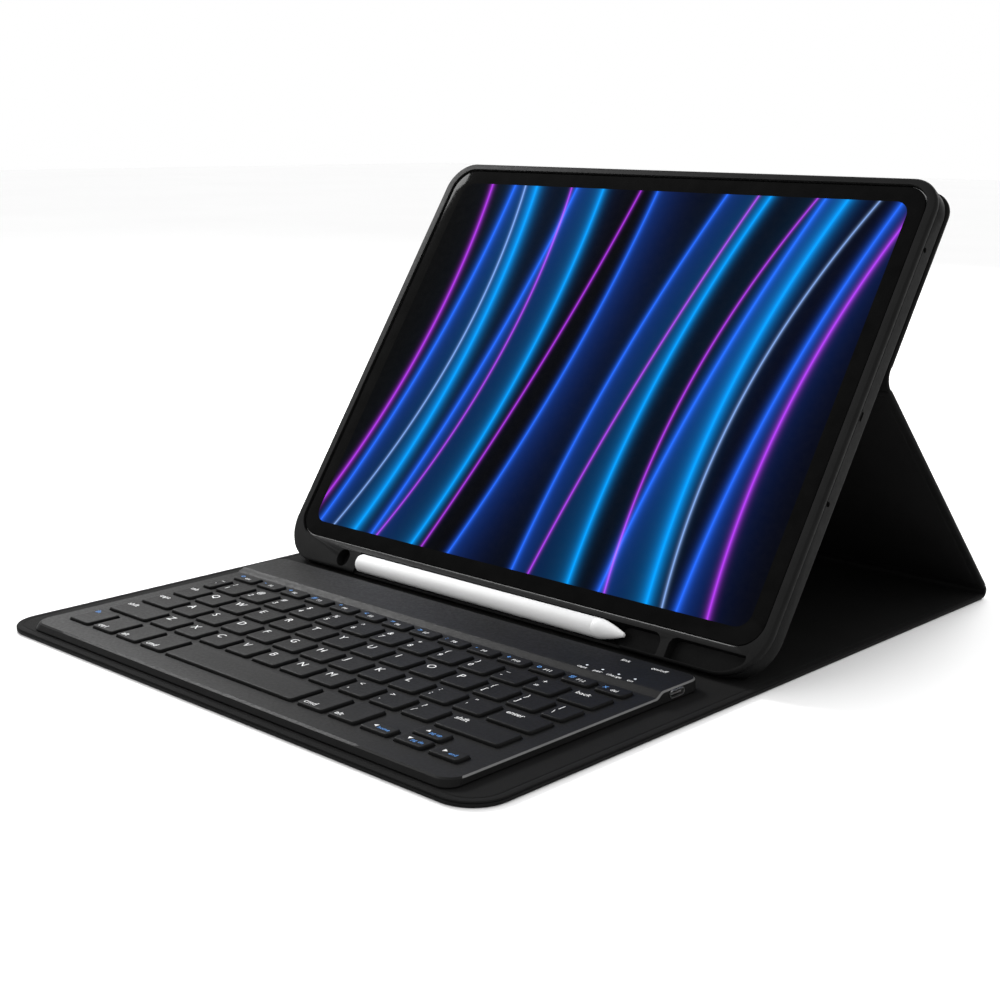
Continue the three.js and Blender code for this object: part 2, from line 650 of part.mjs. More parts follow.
function makeTopCase(groups) {
  const rimBottom = PLATE_TOP + REST_GAP;
  const profile = polygon([
    [0, rimBottom],
    [KEYBOARD_DEPTH, rimBottom],
    [KEYBOARD_DEPTH, HUMP_HEIGHT - KEYBOARD_EDGE],
    [KEYBOARD_DEPTH - KEYBOARD_EDGE, HUMP_HEIGHT],
    [HUMP_FRONT + HUMP_RAMP, HUMP_HEIGHT],
    [HUMP_FRONT, DECK_HEIGHT],
    [KEYBOARD_EDGE, DECK_HEIGHT],
    [0, DECK_HEIGHT - KEYBOARD_EDGE],
  ]);
  const hollow = polygon([
    [CASE_WALL, rimBottom - 1],
    [REAR_WALL, rimBottom - 1],
    [REAR_WALL, HUMP_CEILING],
    [BAY_FRONT, HUMP_CEILING],
    [HUMP_FRONT + CASE_WALL / 2, DECK_BOTTOM],
    [CASE_WALL, DECK_BOTTOM],
  ]);
  const half = KEYBOARD_WIDTH / 2;
  const outline = centred(0, KEYBOARD_DEPTH / 2, KEYBOARD_WIDTH, KEYBOARD_DEPTH, KEYBOARD_CORNER);
  const outer = common(barAlongX(profile, -half, half), slab(outline, 0, HUMP_HEIGHT + 1));
  const bosses = SCREW_PLACES.map(([x, y]) => turned([
    [0, rimBottom],
    [SCREW.boss, rimBottom],
    [SCREW.boss, y < HUMP_FRONT ? DECK_HEIGHT - 0.2 : HUMP_HEIGHT - 0.2],
    [0, y < HUMP_FRONT ? DECK_HEIGHT - 0.2 : HUMP_HEIGHT - 0.2],
  ]).translate(x, y, 0));
  const shell = join(
    cut(outer, barAlongX(hollow, -half + CASE_WALL, half - CASE_WALL)),
    ...bosses,
  );

  const keyHoles = Object.values(groups).flat().map(({ x, y, width, depth }) => box(
    x - width / 2 - SLIDE_GAP, x + width / 2 + SLIDE_GAP,
    y - depth / 2 - SLIDE_GAP, y + depth / 2 + SLIDE_GAP,
    DECK_BOTTOM - 1, DECK_HEIGHT + 1,
  ));
  const screwHoles = SCREW_PLACES.map(([x, y]) => turned([
    [0, 0],
    [SCREW.shank + REST_GAP, 0],
    [SCREW.shank + REST_GAP, PLATE_TOP + SCREW.length + REST_GAP],
    [0, PLATE_TOP + SCREW.length + REST_GAP],
  ]).translate(x, y, 0));
  const lightHoles = lightPlaces().map((x) => turned([
    [0, HUMP_CEILING - 1],
    [LIGHTS.radius + REST_GAP, HUMP_CEILING - 1],
    [LIGHTS.radius + REST_GAP, HUMP_HEIGHT + 1],
    [0, HUMP_HEIGHT + 1],
  ], 8).translate(x, LIGHTS.y, 0));
  const usbHole = box(
    half - CASE_WALL - 1, half + 1,
    USB.y - USB.width / 2 - REST_GAP, USB.y + USB.width / 2 + REST_GAP,
    USB.z - USB.height / 2 - REST_GAP, USB.z + USB.height / 2 + REST_GAP,
  );
  const rearHole = (left, right, height) => box(
    left - SLIDE_GAP, right + SLIDE_GAP, REAR_WALL - 1, KEYBOARD_DEPTH + 1,
    CONTROL_Z - height / 2 - SLIDE_GAP, CONTROL_Z + height / 2 + SLIDE_GAP,
  );
  const buttonHole = rearHole(
    BUTTON.x - BUTTON.width / 2, BUTTON.x + BUTTON.width / 2, BUTTON.height,
  );
  const switchHole = rearHole(
    SWITCH.x - SWITCH.width / 2, SWITCH.x + SWITCH.width / 2 + SWITCH.travel, SWITCH.height,
  );
  return cut(shell, ...keyHoles, ...screwHoles, ...lightHoles, usbHole, buttonHole, switchHole);
}

const lightPlaces = () =>
  Array.from({ length: LIGHTS.count }, (_, index) => LIGHTS.first + index * LIGHTS.pitch);

/** A light bar below the top of the hump, with a short pipe up to each indicator. */
function makeLightBar() {
  const places = lightPlaces();
  const barTop = HUMP_CEILING - REST_GAP;
  const margin = 2;
  const bar = box(
    places[0] - margin, places[places.length - 1] + margin,
    LIGHTS.y - margin / 2, LIGHTS.y + margin / 2, barTop - LIGHTS.bar, barTop,
  );
  const pipes = places.map((x) => turned([
    [0, barTop - LIGHTS.bar / 2],
    [LIGHTS.radius, barTop - LIGHTS.bar / 2],
    [LIGHTS.radius, HUMP_HEIGHT],
    [0, HUMP_HEIGHT],
  ], 8).translate(x, LIGHTS.y, 0));
  return join(bar, ...pipes);
}

/** A metal socket, open to the right, with a tongue in it. */
function makeUsbPort() {
  const right = KEYBOARD_WIDTH / 2;
  const left = right - USB.length;
  const shape = (shrink) => centred(
    USB.y, USB.z, USB.width - 2 * shrink, USB.height - 2 * shrink,
    (USB.height - 2 * shrink) / 2 - 0.01,
  );
  const shell = cut(
    barAlongX(shape(0), left, right, 4),
    barAlongX(shape(USB.wall), left + 1, right + 1, 4),
  );
  const tongueThickness = 0.7;
  const tongueWidth = USB.width - 8 * USB.wall;
  return join(shell, box(
    left + 0.5, right - 0.6,
    USB.y - tongueWidth / 2, USB.y + tongueWidth / 2,
    USB.z - tongueThickness / 2, USB.z + tongueThickness / 2,
  ));
}

/** A cap through the rear wall, with a flange inside that keeps it in its hole. */
function makeRearControl({ x, width, height, proud }) {
  const flangeRear = REAR_WALL - REST_GAP;
  const reach = 1.2;
  return join(
    box(
      x - width / 2, x + width / 2, flangeRear - CONTROL_FLANGE / 2, KEYBOARD_DEPTH + proud,
      CONTROL_Z - height / 2, CONTROL_Z + height / 2,
    ),
    box(
      x - width / 2 - reach, x + width / 2 + reach, flangeRear - CONTROL_FLANGE, flangeRear,
      CONTROL_Z - height / 2 - reach / 2, CONTROL_Z + height / 2 + reach / 2,
    ),
  );
}

function makeScrew([x, y]) {
  return turned([
    [0, REST_GAP],
    [SCREW.head, REST_GAP],
    [SCREW.head, PLATE_TOP],
    [SCREW.shank, PLATE_TOP],
    [SCREW.shank, PLATE_TOP + SCREW.length],
    [0, PLATE_TOP + SCREW.length],
  ]).translate(x, y, 0);
}

function makeBottomPlate() {
  const outline = centred(0, KEYBOARD_DEPTH / 2, KEYBOARD_WIDTH, KEYBOARD_DEPTH, KEYBOARD_CORNER);
  const holes = SCREW_PLACES.map(([x, y]) => {
    const radius = SCREW.head + REST_GAP;
    return turned([[0, -1], [radius, -1], [radius, 2], [0, 2]]).translate(x, y, 0);
  });
  return cut(slab(outline, REST_GAP, PLATE_TOP), ...holes);
}

function makeKeyboard() {
  const group = new THREE.Group();
  group.position.set(0, KEYBOARD_SETBACK, COVER_THICKNESS);
  const groups = keyGroups();
  const floor = PLATE_TOP + REST_GAP;
  const bayMiddle = (BAY_FRONT + REAR_WALL) / 2;
  const inBay = ({ left, right, depth, height }) =>
    box(left, right, bayMiddle - depth / 2, bayMiddle + depth / 2, floor, floor + height);

  group.add(piece('keyboard_bottom_plate', makeBottomPlate(), 'aluminium'));
  group.add(piece('keyboard_top_case', makeTopCase(groups), 'keyboardCase'));
  group.add(piece('key_plate', box(
    FIELD_LEFT, FIELD_RIGHT, 2 * CASE_WALL, HUMP_FRONT, floor, floor + KEY_PLATE,
  ), 'steel'));
  group.add(piece('keyboard_battery', inBay(BATTERY), 'battery'));
  group.add(piece('keyboard_circuit_board', inBay(CIRCUIT), 'circuitBoard'));
  group.add(piece('usb_port', makeUsbPort(), 'steel'));
  group.add(piece('indicator_lights', makeLightBar(), 'lightPipe'));
  group.add(piece('connect_button', makeRearControl(BUTTON), 'keycap'));
  group.add(piece('power_switch', makeRearControl(SWITCH), 'keycap'));
  SCREW_PLACES.forEach((place, index) => {
    group.add(piece(`case_screw_${index + 1}`, makeScrew(place), 'steel'));
  });
  for (const [name, caps] of Object.entries(groups)) {
    group.add(piece(name, keySolid(caps), 'keycap'));
  }
  return group;
}

// ---------------------------------------------------------------- assembly

const group = new THREE.Group();
group.position.y = -FOOTPRINT_LENGTH / 2;
group.add(makeBase(), makeLeg(), makeScreenSide(), makeKeyboard());

export default group;
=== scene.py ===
"""The looks of a tablet keyboard case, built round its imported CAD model."""

import json
import math

import bmesh
import bpy
from mathutils import Matrix, Vector


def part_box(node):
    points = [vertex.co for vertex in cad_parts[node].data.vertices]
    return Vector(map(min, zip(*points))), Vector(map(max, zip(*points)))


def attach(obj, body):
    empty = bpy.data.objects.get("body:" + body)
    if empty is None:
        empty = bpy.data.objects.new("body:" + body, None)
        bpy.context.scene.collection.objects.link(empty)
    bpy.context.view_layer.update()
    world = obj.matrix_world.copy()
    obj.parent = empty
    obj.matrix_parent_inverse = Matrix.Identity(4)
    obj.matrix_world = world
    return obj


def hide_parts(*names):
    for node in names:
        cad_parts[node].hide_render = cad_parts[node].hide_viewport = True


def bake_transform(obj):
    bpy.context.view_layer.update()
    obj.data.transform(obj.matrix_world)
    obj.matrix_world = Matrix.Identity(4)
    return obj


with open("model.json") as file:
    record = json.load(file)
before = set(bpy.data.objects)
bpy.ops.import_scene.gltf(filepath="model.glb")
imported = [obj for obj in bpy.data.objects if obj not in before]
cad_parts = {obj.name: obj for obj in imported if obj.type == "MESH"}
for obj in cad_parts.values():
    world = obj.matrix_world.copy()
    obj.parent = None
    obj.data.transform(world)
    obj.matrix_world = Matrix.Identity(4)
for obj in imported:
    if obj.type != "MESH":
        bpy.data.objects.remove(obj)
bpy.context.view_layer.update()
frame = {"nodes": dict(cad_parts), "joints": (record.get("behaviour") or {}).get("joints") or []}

MM = 0.001


# ---------------------------------------------------------------- sizes, in millimetres

COVER = 2.5
SKIN = 0.6
RIM_TOP = 1.7
LINING_BOTTOM = 1.9
EDGE_RIM = 4.0
COVER_FILLET = 0.9
WELD_INSET = 3.2
WELD_DEPTH = 0.22
WELD_HALF = 0.45
WELD_FLAT = 1
RIM_EASE = 0.15
LINING_EASE = 0.1
LINING_EDGE = 0.12
COVER_STEPS = 10
FOLD_STEPS = 14
SHEET_STEPS = 6
FRONT_CORNER = 16.0
TOP_CORNER = 12.0
FOLD_CORNER = 1.5
FOLD_MARGIN = 6.0
CREASE = 1.5
CREASE_TUCK = 1.6

TABLET = (280.6, 214.9, 6.4)
TABLET_CORNER = 12.0
GLASS_INSET = 0.4
GLASS = 0.8
DISPLAY_BORDER = 8.0
DISPLAY_CORNER = 7.0

TRAY_TOP = 3.6
TRAY_STRIP = 13.3
TRAY_LIP = 0.8
TRAY_BACK = 9.9
TRAY_CORNER = 15.0
TRAY_FOOT_CORNER = 22.0
POCKET_GAP = 0.3
KNEE_RISE = 128.0
PANEL_GAP = 0.3

STYLUS_LENGTH = 166.0
STYLUS_RADIUS = 4.45
STYLUS_TIP = 16.0
STYLUS_CONE = 12.5
STYLUS_DROP = 7.3
STYLUS_DEPTH = 0.8
STYLUS_OFFSET = -6.6

KEYBOARD = (258.0, 142.0)
KEYBOARD_SETBACK = 4.0
KEYBOARD_CORNER = 6.0
DECK = 3.35
CAP_TOP = 4.65
CAP_BOTTOM = 2.25
HUMP = 5.3
HUMP_FRONT = 113.0
RIM_BOTTOM = 0.12
PLATE = (0.1, 0.6)
PLATE_EASE = 0.15
PLATE_GAP = 0.1
SIDE_TAPER = 0.35
FRONT_TAPER = 1.4
RAMP_BLEND = 5.0
CAVITY_TRIM = 3.2
WALL = 1.6
KEY_PITCH = 17.6
ROW_PITCH = 17.2
KEY_GAP = 3.0
KEY_FIELD = 238.8
CAP_DEPTH = 13.9
SPACE_DEPTH = 17.0
FUNCTION_DEPTH = 7.7
ARROW_GAP = 1.6
SPACE_ROW_Y = 22.2
FIRST_LETTER_ROW_Y = 41.0
FUNCTION_ROW_Y = 107.5
FUNCTION_KEYS = 14
SPACE_UNITS = 4.75
KEY_HOLE_GAP = 0.3


# ---------------------------------------------------------------- places, from the frame

joints = {joint["name"]: joint for joint in frame["joints"]}


def point(metres):
    return Vector(metres) / MM


rear_fold = point(joints["rear_fold"]["pos_m"])
knee_fold = point(joints["knee_fold"]["pos_m"])
out_of_screen = Vector(joints["tablet_release"]["axis"]).normalized()
up_screen = Vector((0, out_of_screen.z, -out_of_screen.y))
up_leg = (knee_fold - rear_fold).normalized()
LEG_LENGTH = (knee_fold - rear_fold).length
LEG_ANGLE = math.atan2(up_leg.z, up_leg.y)
SCREEN_ANGLE = math.atan2(up_screen.z, up_screen.y)
KNEE_ANGLE = LEG_ANGLE - SCREEN_ANGLE
FRONT_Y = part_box("base_skin")[0][1] / MM
BASE_END = rear_fold.y - FRONT_Y - FOLD_MARGIN
WIDTH = (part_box("base_skin")[1][0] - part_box("base_skin")[0][0]) / MM


def placed(origin, angle):
    """The frame of a panel: Y runs up it and Z is its normal, turned about X by angle."""
    return Matrix.Translation(origin) @ Matrix.Rotation(angle, 4, "X")


BASE = placed(Vector((0, FRONT_Y, 0)), 0)
LEG = placed(rear_fold, LEG_ANGLE)
PANEL_MIDDLE = -(TRAY_BACK + PANEL_GAP + COVER / 2)
SCREEN = placed(knee_fold, SCREEN_ANGLE) @ Matrix.Translation((0, -KNEE_RISE, -PANEL_MIDDLE))
BOARD_FRAME = BASE @ Matrix.Translation((0, KEYBOARD_SETBACK, COVER))


# ---------------------------------------------------------------- materials

class Nodes:
    """Builds one material's nodes."""

    def __init__(self, name):
        self.material = bpy.data.materials.new(name)
        self.material.use_nodes = True
        self.tree = self.material.node_tree
        self.shader = self.tree.nodes["Principled BSDF"]
        self.position = self.add("ShaderNodeTexCoord").outputs["Object"]

    def add(self, kind, **inputs):
        node = self.tree.nodes.new(kind)
        for key, value in inputs.items():
            self.feed(node.inputs[key.replace("_", " ")], value)
        return node

    def feed(self, socket, value):
        if isinstance(value, bpy.types.NodeSocket):
            self.tree.links.new(value, socket)
        else:
            socket.default_value = value

    def noise(self, scale, detail=3.0, roughness=0.5):
        return self.add(
            "ShaderNodeTexNoise", Vector=self.position,
            Scale=scale, Detail=detail, Roughness=roughness,
        ).outputs["Fac"]

    def cells(self, scale, feature):
        node = self.add("ShaderNodeTexVoronoi", Vector=self.position, Scale=scale)
        node.feature = feature
        return node.outputs["Distance"]

    def ramp(self, factor, *stops):
        node = self.add("ShaderNodeValToRGB", Fac=factor)
        ramp = node.color_ramp
        while len(ramp.elements) < len(stops):
            ramp.elements.new(0.5)
        for element, (place, colour) in zip(ramp.elements, stops):
            element.position = place
            element.color = (*colour, 1)
        return node.outputs["Color"]

    def grey(self, factor, low, high):
        return self.ramp(factor, (0.25, (low,) * 3), (0.75, (high,) * 3))

    def bump(self, height, strength, distance, normal=None):
        node = self.add("ShaderNodeBump", Height=height, Strength=strength, Distance=distance)
        if normal is not None:
            self.feed(node.inputs["Normal"], normal)
        return node.outputs["Normal"]

    def math(self, operation, a, b=None, c=None):
        node = self.add("ShaderNodeMath")
        node.operation = operation
        for socket, value in zip(node.inputs, (a, b, c)):
            if value is not None:
                self.feed(socket, value)
        return node.outputs[0]

    def set(self, **inputs):
        for key, value in inputs.items():
            self.feed(self.shader.inputs[key.replace("_", " ")], value)
        return self.material


def leather(name, low, high):
    """Synthetic leather with a fine pebbled grain and faint mottling."""
    n = Nodes(name)
    mottle = n.noise(60, 4)
    pebbles = n.cells(1100, "SMOOTH_F1")
    creases = n.cells(420, "DISTANCE_TO_EDGE")
    grain = n.bump(pebbles, 0.5, 0.00018)
    grain = n.bump(n.math("MINIMUM", creases, 0.08), 0.35, 0.0004, grain)
    return n.set(
        Base_Color=n.ramp(mottle, (0.3, low), (0.7, high)),
        Roughness=n.grey(n.noise(400, 2), 0.52, 0.66),
        Specular_IOR_Level=0.06,
        Normal=grain,
    )


def suede(name, low, high):
    """Brushed microfibre: dull, with a short nap and soft sheen."""
    n = Nodes(name)
    nap = n.noise(2600, 4, 0.7)
    return n.set(
        Base_Color=n.ramp(n.noise(35, 5), (0.3, low), (0.7, high)),
        Roughness=n.grey(nap, 0.8, 0.95),
        Specular_IOR_Level=0.08,
        Normal=n.bump(nap, 0.45, 0.00025),
    )


def moulded(name, low, high, rough=(0.42, 0.56), texture=2200, depth=0.00006, specular=0.06):
    """Moulded plastic with a fine spark texture and slight unevenness."""
    n = Nodes(name)
    spark = n.noise(texture, 3, 0.6)
    return n.set(
        Base_Color=n.ramp(n.noise(90, 3), (0.3, low), (0.7, high)),
        Roughness=n.grey(n.noise(700, 3), *rough),
        Specular_IOR_Level=specular,
        Normal=n.bump(spark, 0.35, depth),
    )


def metal(name, low, high, rough=(0.25, 0.4), stretch=(1, 1, 1)):
    """Metal with a fine grain, drawn out along an axis where stretch says so."""
    n = Nodes(name)
    mapping = n.add("ShaderNodeMapping", Vector=n.position, Scale=stretch)
    n.position = mapping.outputs["Vector"]
    grain = n.noise(1800, 3)
    return n.set(
        Base_Color=n.ramp(n.noise(200, 3), (0.3, low), (0.7, high)),
        Metallic=1.0,
        Roughness=n.grey(grain, *rough),
        Normal=n.bump(grain, 0.2, 0.00003),
    )


def grey_pair(level, spread=0.12):
    """A darker and a lighter grey on each side of a level."""
    return (level * (1 - spread),) * 3, (level * (1 + spread),) * 3


BLUE = (0.02, 0.15, 1.0)
AZURE = (0.0, 0.35, 1.0)
VIOLET = (0.55, 0.05, 1.0)
ICE = (0.3, 0.5, 1.0)
EXPONENT = 2.718
SPILL_WIDTH = 9
SPILL_LIGHT = 0.22

# Each line's distance from the middle, lean, bow, half width, side that it spills to, and colour.
PICTURE_LINES = (
    (112, 26, 60, 0.9, 0, VIOLET), (104, 34, 40, 1.4, 1, BLUE), (88, 30, 72, 0.5, 0, ICE),
    (80, 22, 54, 2.2, -1, AZURE), (66, 38, 30, 1.3, 1, BLUE), (58, 30, 66, 0.5, 0, VIOLET),
    (40, 26, 44, 1.6, -1, AZURE), (30, 44, 20, 0.5, 0, VIOLET), (14, 36, 30, 1.0, 1, BLUE),
)


def screen_picture():
    """A dark abstract picture: bundles of thin curved lines of blue and violet light."""
    n = Nodes("screen_picture")
    local = n.add("ShaderNodeMapping", Vector=n.position)
    local.vector_type = "TEXTURE"
    local.inputs["Location"].default_value = SCREEN.translation * MM
    local.inputs["Rotation"].default_value = (SCREEN_ANGLE, 0, 0)
    axes = n.add("ShaderNodeSeparateXYZ", Vector=local.outputs["Vector"])
    across = axes.outputs["X"]
    height = n.math("MULTIPLY_ADD", axes.outputs["Y"], 1 / (TABLET[1] * MM), -0.5)
    bow = n.math("MULTIPLY", height, height)

    def ribbon(start, lean, curve, width, spill):
        """Light along a leaning, bowed line, spilling over to one side of it."""
        bowed = n.math("MULTIPLY_ADD", bow, curve * MM, start * MM)
        path = n.math("MULTIPLY_ADD", height, lean * MM, bowed)
        away = n.math("SUBTRACT", across, path)
        line = n.math("DIVIDE", n.math("ABSOLUTE", away), -width * MM)
        line = n.math("POWER", EXPONENT, line)
        beside = n.math("MULTIPLY", away, spill)
        side = n.math("DIVIDE", n.math("MAXIMUM", beside, 0.0), -SPILL_WIDTH * MM)
        ahead = n.math("GREATER_THAN", beside, 0.0)
        glow = n.math("MULTIPLY", n.math("POWER", EXPONENT, side), ahead)
        return n.math("MULTIPLY_ADD", glow, SPILL_LIGHT * abs(spill), line)

    total = None
    for half, (start, lean, curve, width, spill, colour) in (
            (half, line) for half in (-1, 1) for line in PICTURE_LINES):
        tinted = n.add("ShaderNodeVectorMath")
        tinted.operation = "SCALE"
        tinted.inputs[0].default_value = colour
        n.feed(tinted.inputs["Scale"], ribbon(half * start, lean, half * curve, width, spill))
        if total is None:
            total = tinted.outputs[0]
            continue
        added = n.add("ShaderNodeVectorMath")
        added.operation = "ADD"
        n.feed(added.inputs[0], total)
        n.feed(added.inputs[1], tinted.outputs[0])
        total = added.outputs[0]
    return n.set(
        Base_Color=n.grey(n.noise(300, 2), 0.001, 0.002),
        Roughness=0.07,
        Specular_IOR_Level=0.015,
        Emission_Color=total,
        Emission_Strength=1.0,
    )


def black_glass():
    """Dark, nearly smooth glass."""
    n = Nodes("black_glass")
    return n.set(
        Base_Color=n.grey(n.noise(120, 2), 0.0025, 0.004),
        Roughness=n.grey(n.noise(40, 3), 0.05, 0.09),
        Specular_IOR_Level=0.015,
    )


def glowing(name, colour, strength):
    """A small light with slightly uneven colour."""
    n = Nodes(name)
    return n.set(
        Base_Color=n.ramp(n.noise(900, 2), (0.3, tuple(0.8 * c for c in colour)), (0.7, colour)),
        Roughness=0.4,
        Emission_Color=n.ramp(
            n.noise(700, 2), (0.2, tuple(0.85 * c for c in colour)), (0.8, colour)),
        Emission_Strength=strength,
    )


MATERIALS = {
    "leather": leather("black_leather", *grey_pair(0.006)),
    "lining": suede("microfibre_lining", *grey_pair(0.006)),
    "soft_shell": moulded(
        "soft_shell", *grey_pair(0.007), rough=(0.5, 0.62), texture=1500, depth=0.00005),
    "case": moulded("keyboard_case", *grey_pair(0.007)),
    # The case's top bevels get a much lighter grey than the case: a painted highlight line.
    "case_painted_highlight": moulded(
        "keyboard_case_painted_highlight", *grey_pair(0.12), rough=(0.3, 0.4), specular=0.25),
    "cap": moulded("keycap", *grey_pair(0.006), rough=(0.45, 0.58), texture=2600),
    "legend": moulded("white_legend", *grey_pair(0.75), rough=(0.5, 0.6), depth=0.00001),
    "blue_legend": moulded(
        "blue_legend", (0.10, 0.26, 0.6), (0.13, 0.32, 0.7), rough=(0.5, 0.6), depth=0.00001),
    "glass": black_glass(),
    "picture": screen_picture(),
    "aluminium": metal("blasted_aluminium", *grey_pair(0.42), rough=(0.38, 0.5)),
    "dark_aluminium": metal("dark_aluminium", *grey_pair(0.06), rough=(0.4, 0.5)),
    "steel": metal("stamped_steel", *grey_pair(0.5), stretch=(0.2, 2, 1)),
    "magnet": metal("nickel_plate", *grey_pair(0.55), rough=(0.2, 0.3)),
    "stylus": moulded(
        "stylus_white", *grey_pair(0.80, 0.02), rough=(0.16, 0.24), depth=0.00001),
    "board": moulded(
        "stiffener_board", (0.24, 0.19, 0.13), (0.34, 0.28, 0.20), rough=(0.8, 0.95),
        texture=900, depth=0.0002),
    "battery": moulded("battery_foil", *grey_pair(0.18), rough=(0.3, 0.45), texture=500),
    "circuit": moulded("circuit_board", (0.008, 0.06, 0.03), (0.012, 0.09, 0.045)),
    "light": glowing("indicator_light", (0.75, 0.80, 0.85), 0.25),
    "lens": moulded("lens_ring", *grey_pair(0.02), rough=(0.08, 0.14), depth=0.00001),
}


# ---------------------------------------------------------------- mesh tools

def outline(left, right, front, rear, radii, inset=0.0, steps=8):
    """Points round a rectangle with rounded corners, drawn in by inset; always the same count."""
    if not isinstance(radii, (tuple, list)):
        radii = (radii,) * 4
    left, right, front, rear = left + inset, right - inset, front + inset, rear - inset
    corners = (
        (left, front, 1, 1, math.pi), (right, front, -1, 1, 1.5 * math.pi),
        (right, rear, -1, -1, 0.0), (left, rear, 1, -1, 0.5 * math.pi),
    )
    points = []
    for (x, y, sx, sy, start), full in zip(corners, radii):
        radius = max(full - inset, 0.05)
        for step in range(steps + 1):
            angle = start + 0.5 * math.pi * step / steps
            points.append((
                x + sx * radius + radius * math.cos(angle),
                y + sy * radius + radius * math.sin(angle),
            ))
    return points


def lofted(rings, mesh=None):
    """Joins rings of points by quads, and caps the first and last rings."""
    mesh = mesh or bmesh.new()
    loops = [[mesh.verts.new(p) for p in ring] for ring in rings]
    count = len(loops[0])
    for low, high in zip(loops, loops[1:]):
        for i in range(count):
            j = (i + 1) % count
            mesh.faces.new((low[i], low[j], high[j], high[i]))
    mesh.faces.new(reversed(loops[0]))
    mesh.faces.new(loops[-1])
    return mesh


def stack(sides, radii, profile, steps=8, mesh=None):
    """A solid whose section is a list of (inset, height) pairs, run round a rounded rectangle."""
    rings = []
    for inset, height in profile:
        rings.append([(x, y, height) for x, y in outline(*sides, radii, inset, steps)])
    return lofted(rings, mesh)


def fillet(inset, height, radius, top, steps=4):
    """(inset, height) pairs of a quarter round at the top or bottom outer edge."""
    pairs = []
    for step in range(steps + 1):
        angle = 0.5 * math.pi * step / steps
        if top:
            pairs.append((
                inset + radius * (1 - math.cos(angle)), height - radius * (1 - math.sin(angle))))
        else:
            pairs.append((
                inset + radius * (1 - math.sin(angle)), height + radius * (1 - math.cos(angle))))
    return pairs


def make(name, mesh, material, matrix=Matrix.Identity(4), sharp=35):
    """A Blender object from a bmesh in millimetres, put in place."""
    if isinstance(mesh, bmesh.types.BMesh):
        bmesh.ops.recalc_face_normals(mesh, faces=mesh.faces)
        data = bpy.data.meshes.new(name)
        mesh.to_mesh(data)
        mesh.free()
    else:
        data = mesh
    data.transform(Matrix.Scale(MM, 4) @ matrix)
    for polygon in data.polygons:
        polygon.use_smooth = True
    data.set_sharp_from_angle(angle=math.radians(sharp))
    piece = bpy.data.objects.new(name, data)
    bpy.context.collection.objects.link(piece)
    names = [material] if isinstance(material, str) else material
    for each in names:
        data.materials.append(MATERIALS[each])
    return piece


def carved(solid, cutters, bevel=None):
    """A bmesh with cutters taken out, its edges then eased by (width, degrees, segments)."""
    def temporary(mesh):
        bmesh.ops.recalc_face_normals(mesh, faces=mesh.faces)
        data = bpy.data.meshes.new("temporary")
        mesh.to_mesh(data)
        mesh.free()
        holder = bpy.data.objects.new("temporary", data)
        bpy.context.collection.objects.link(holder)
        return holder

    body = temporary(solid)
    holders = [body]
    for cutter in cutters:
        holder = temporary(cutter)
        holders.append(holder)
        modifier = body.modifiers.new("cut", "BOOLEAN")
        modifier.operation = "DIFFERENCE"
        modifier.solver = "EXACT"
        modifier.object = holder
    if bevel:
        width, degrees, segments = bevel
        modifier = body.modifiers.new("ease", "BEVEL")
        modifier.width = width
        modifier.segments = segments
        modifier.limit_method = "ANGLE"
        modifier.angle_limit = math.radians(degrees)
        modifier.use_clamp_overlap = True
    evaluated = body.evaluated_get(bpy.context.evaluated_depsgraph_get())
    result = bpy.data.meshes.new_from_object(evaluated)
    for holder in holders:
        data = holder.data
        bpy.data.objects.remove(holder)
        bpy.data.meshes.remove(data)
    result.materials.clear()
    return result


def prism(points, bottom, top, mesh=None):
    """An upright solid on a list of (x, y) points."""
    return lofted([[(x, y, z) for x, y in points] for z in (bottom, top)], mesh)


def bar(points, left, right):
    """A bar along X whose section is a list of (y, z) points."""
    return lofted([[(x, y, z) for y, z in points] for x in (left, right)])


def block(x0, x1, y0, y1, z0, z1):
    return prism([(x0, y0), (x1, y0), (x1, y1), (x0, y1)], z0, z1)


def ring_points(x, y, radius, count):
    """Points round a circle."""
    angles = (2 * math.pi * i / count for i in range(count))
    return [(x + radius * math.cos(a), y + radius * math.sin(a)) for a in angles]


def turned(profile, count):
    """A solid of revolution about Z from (radius, height) pairs with small end radii."""
    return lofted([[(x, y, h) for x, y in ring_points(0, 0, r, count)] for r, h in profile])


def finish_piece(piece, body, slot, *nodes):
    """Says what a piece rides on and which nodes it stands for; the finish slot is not used."""
    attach(piece, body)
    if nodes:
        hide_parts(*nodes)


# ---------------------------------------------------------------- camera, light and floor

CAMERA_PLACE = Vector((487.0, -356.0 + FRONT_Y, 220.0))
CAMERA_YAW = 42.98
CAMERA_PITCH = 13.02
CAMERA_ROLL = 0.5
CAMERA_LENS = 58.8


def make_camera():
    yaw, pitch, roll = (math.radians(a) for a in (CAMERA_YAW, CAMERA_PITCH, CAMERA_ROLL))
    forward = Vector((
        -math.sin(yaw) * math.cos(pitch), math.cos(yaw) * math.cos(pitch), -math.sin(pitch)))
    right = Vector((math.cos(yaw), math.sin(yaw), 0))
    up = right.cross(forward)
    right, up = (
        math.cos(roll) * right + math.sin(roll) * up,
        math.cos(roll) * up - math.sin(roll) * right,
    )
    data = bpy.data.cameras.new("camera")
    data.lens = CAMERA_LENS
    data.sensor_width = 36
    data.clip_start = 0.01
    camera = bpy.data.objects.new("camera", data)
    bpy.context.collection.objects.link(camera)
    turn = Matrix((right, up, -forward)).transposed().to_4x4()
    camera.matrix_world = Matrix.Translation(CAMERA_PLACE * MM) @ turn
    bpy.context.scene.camera = camera


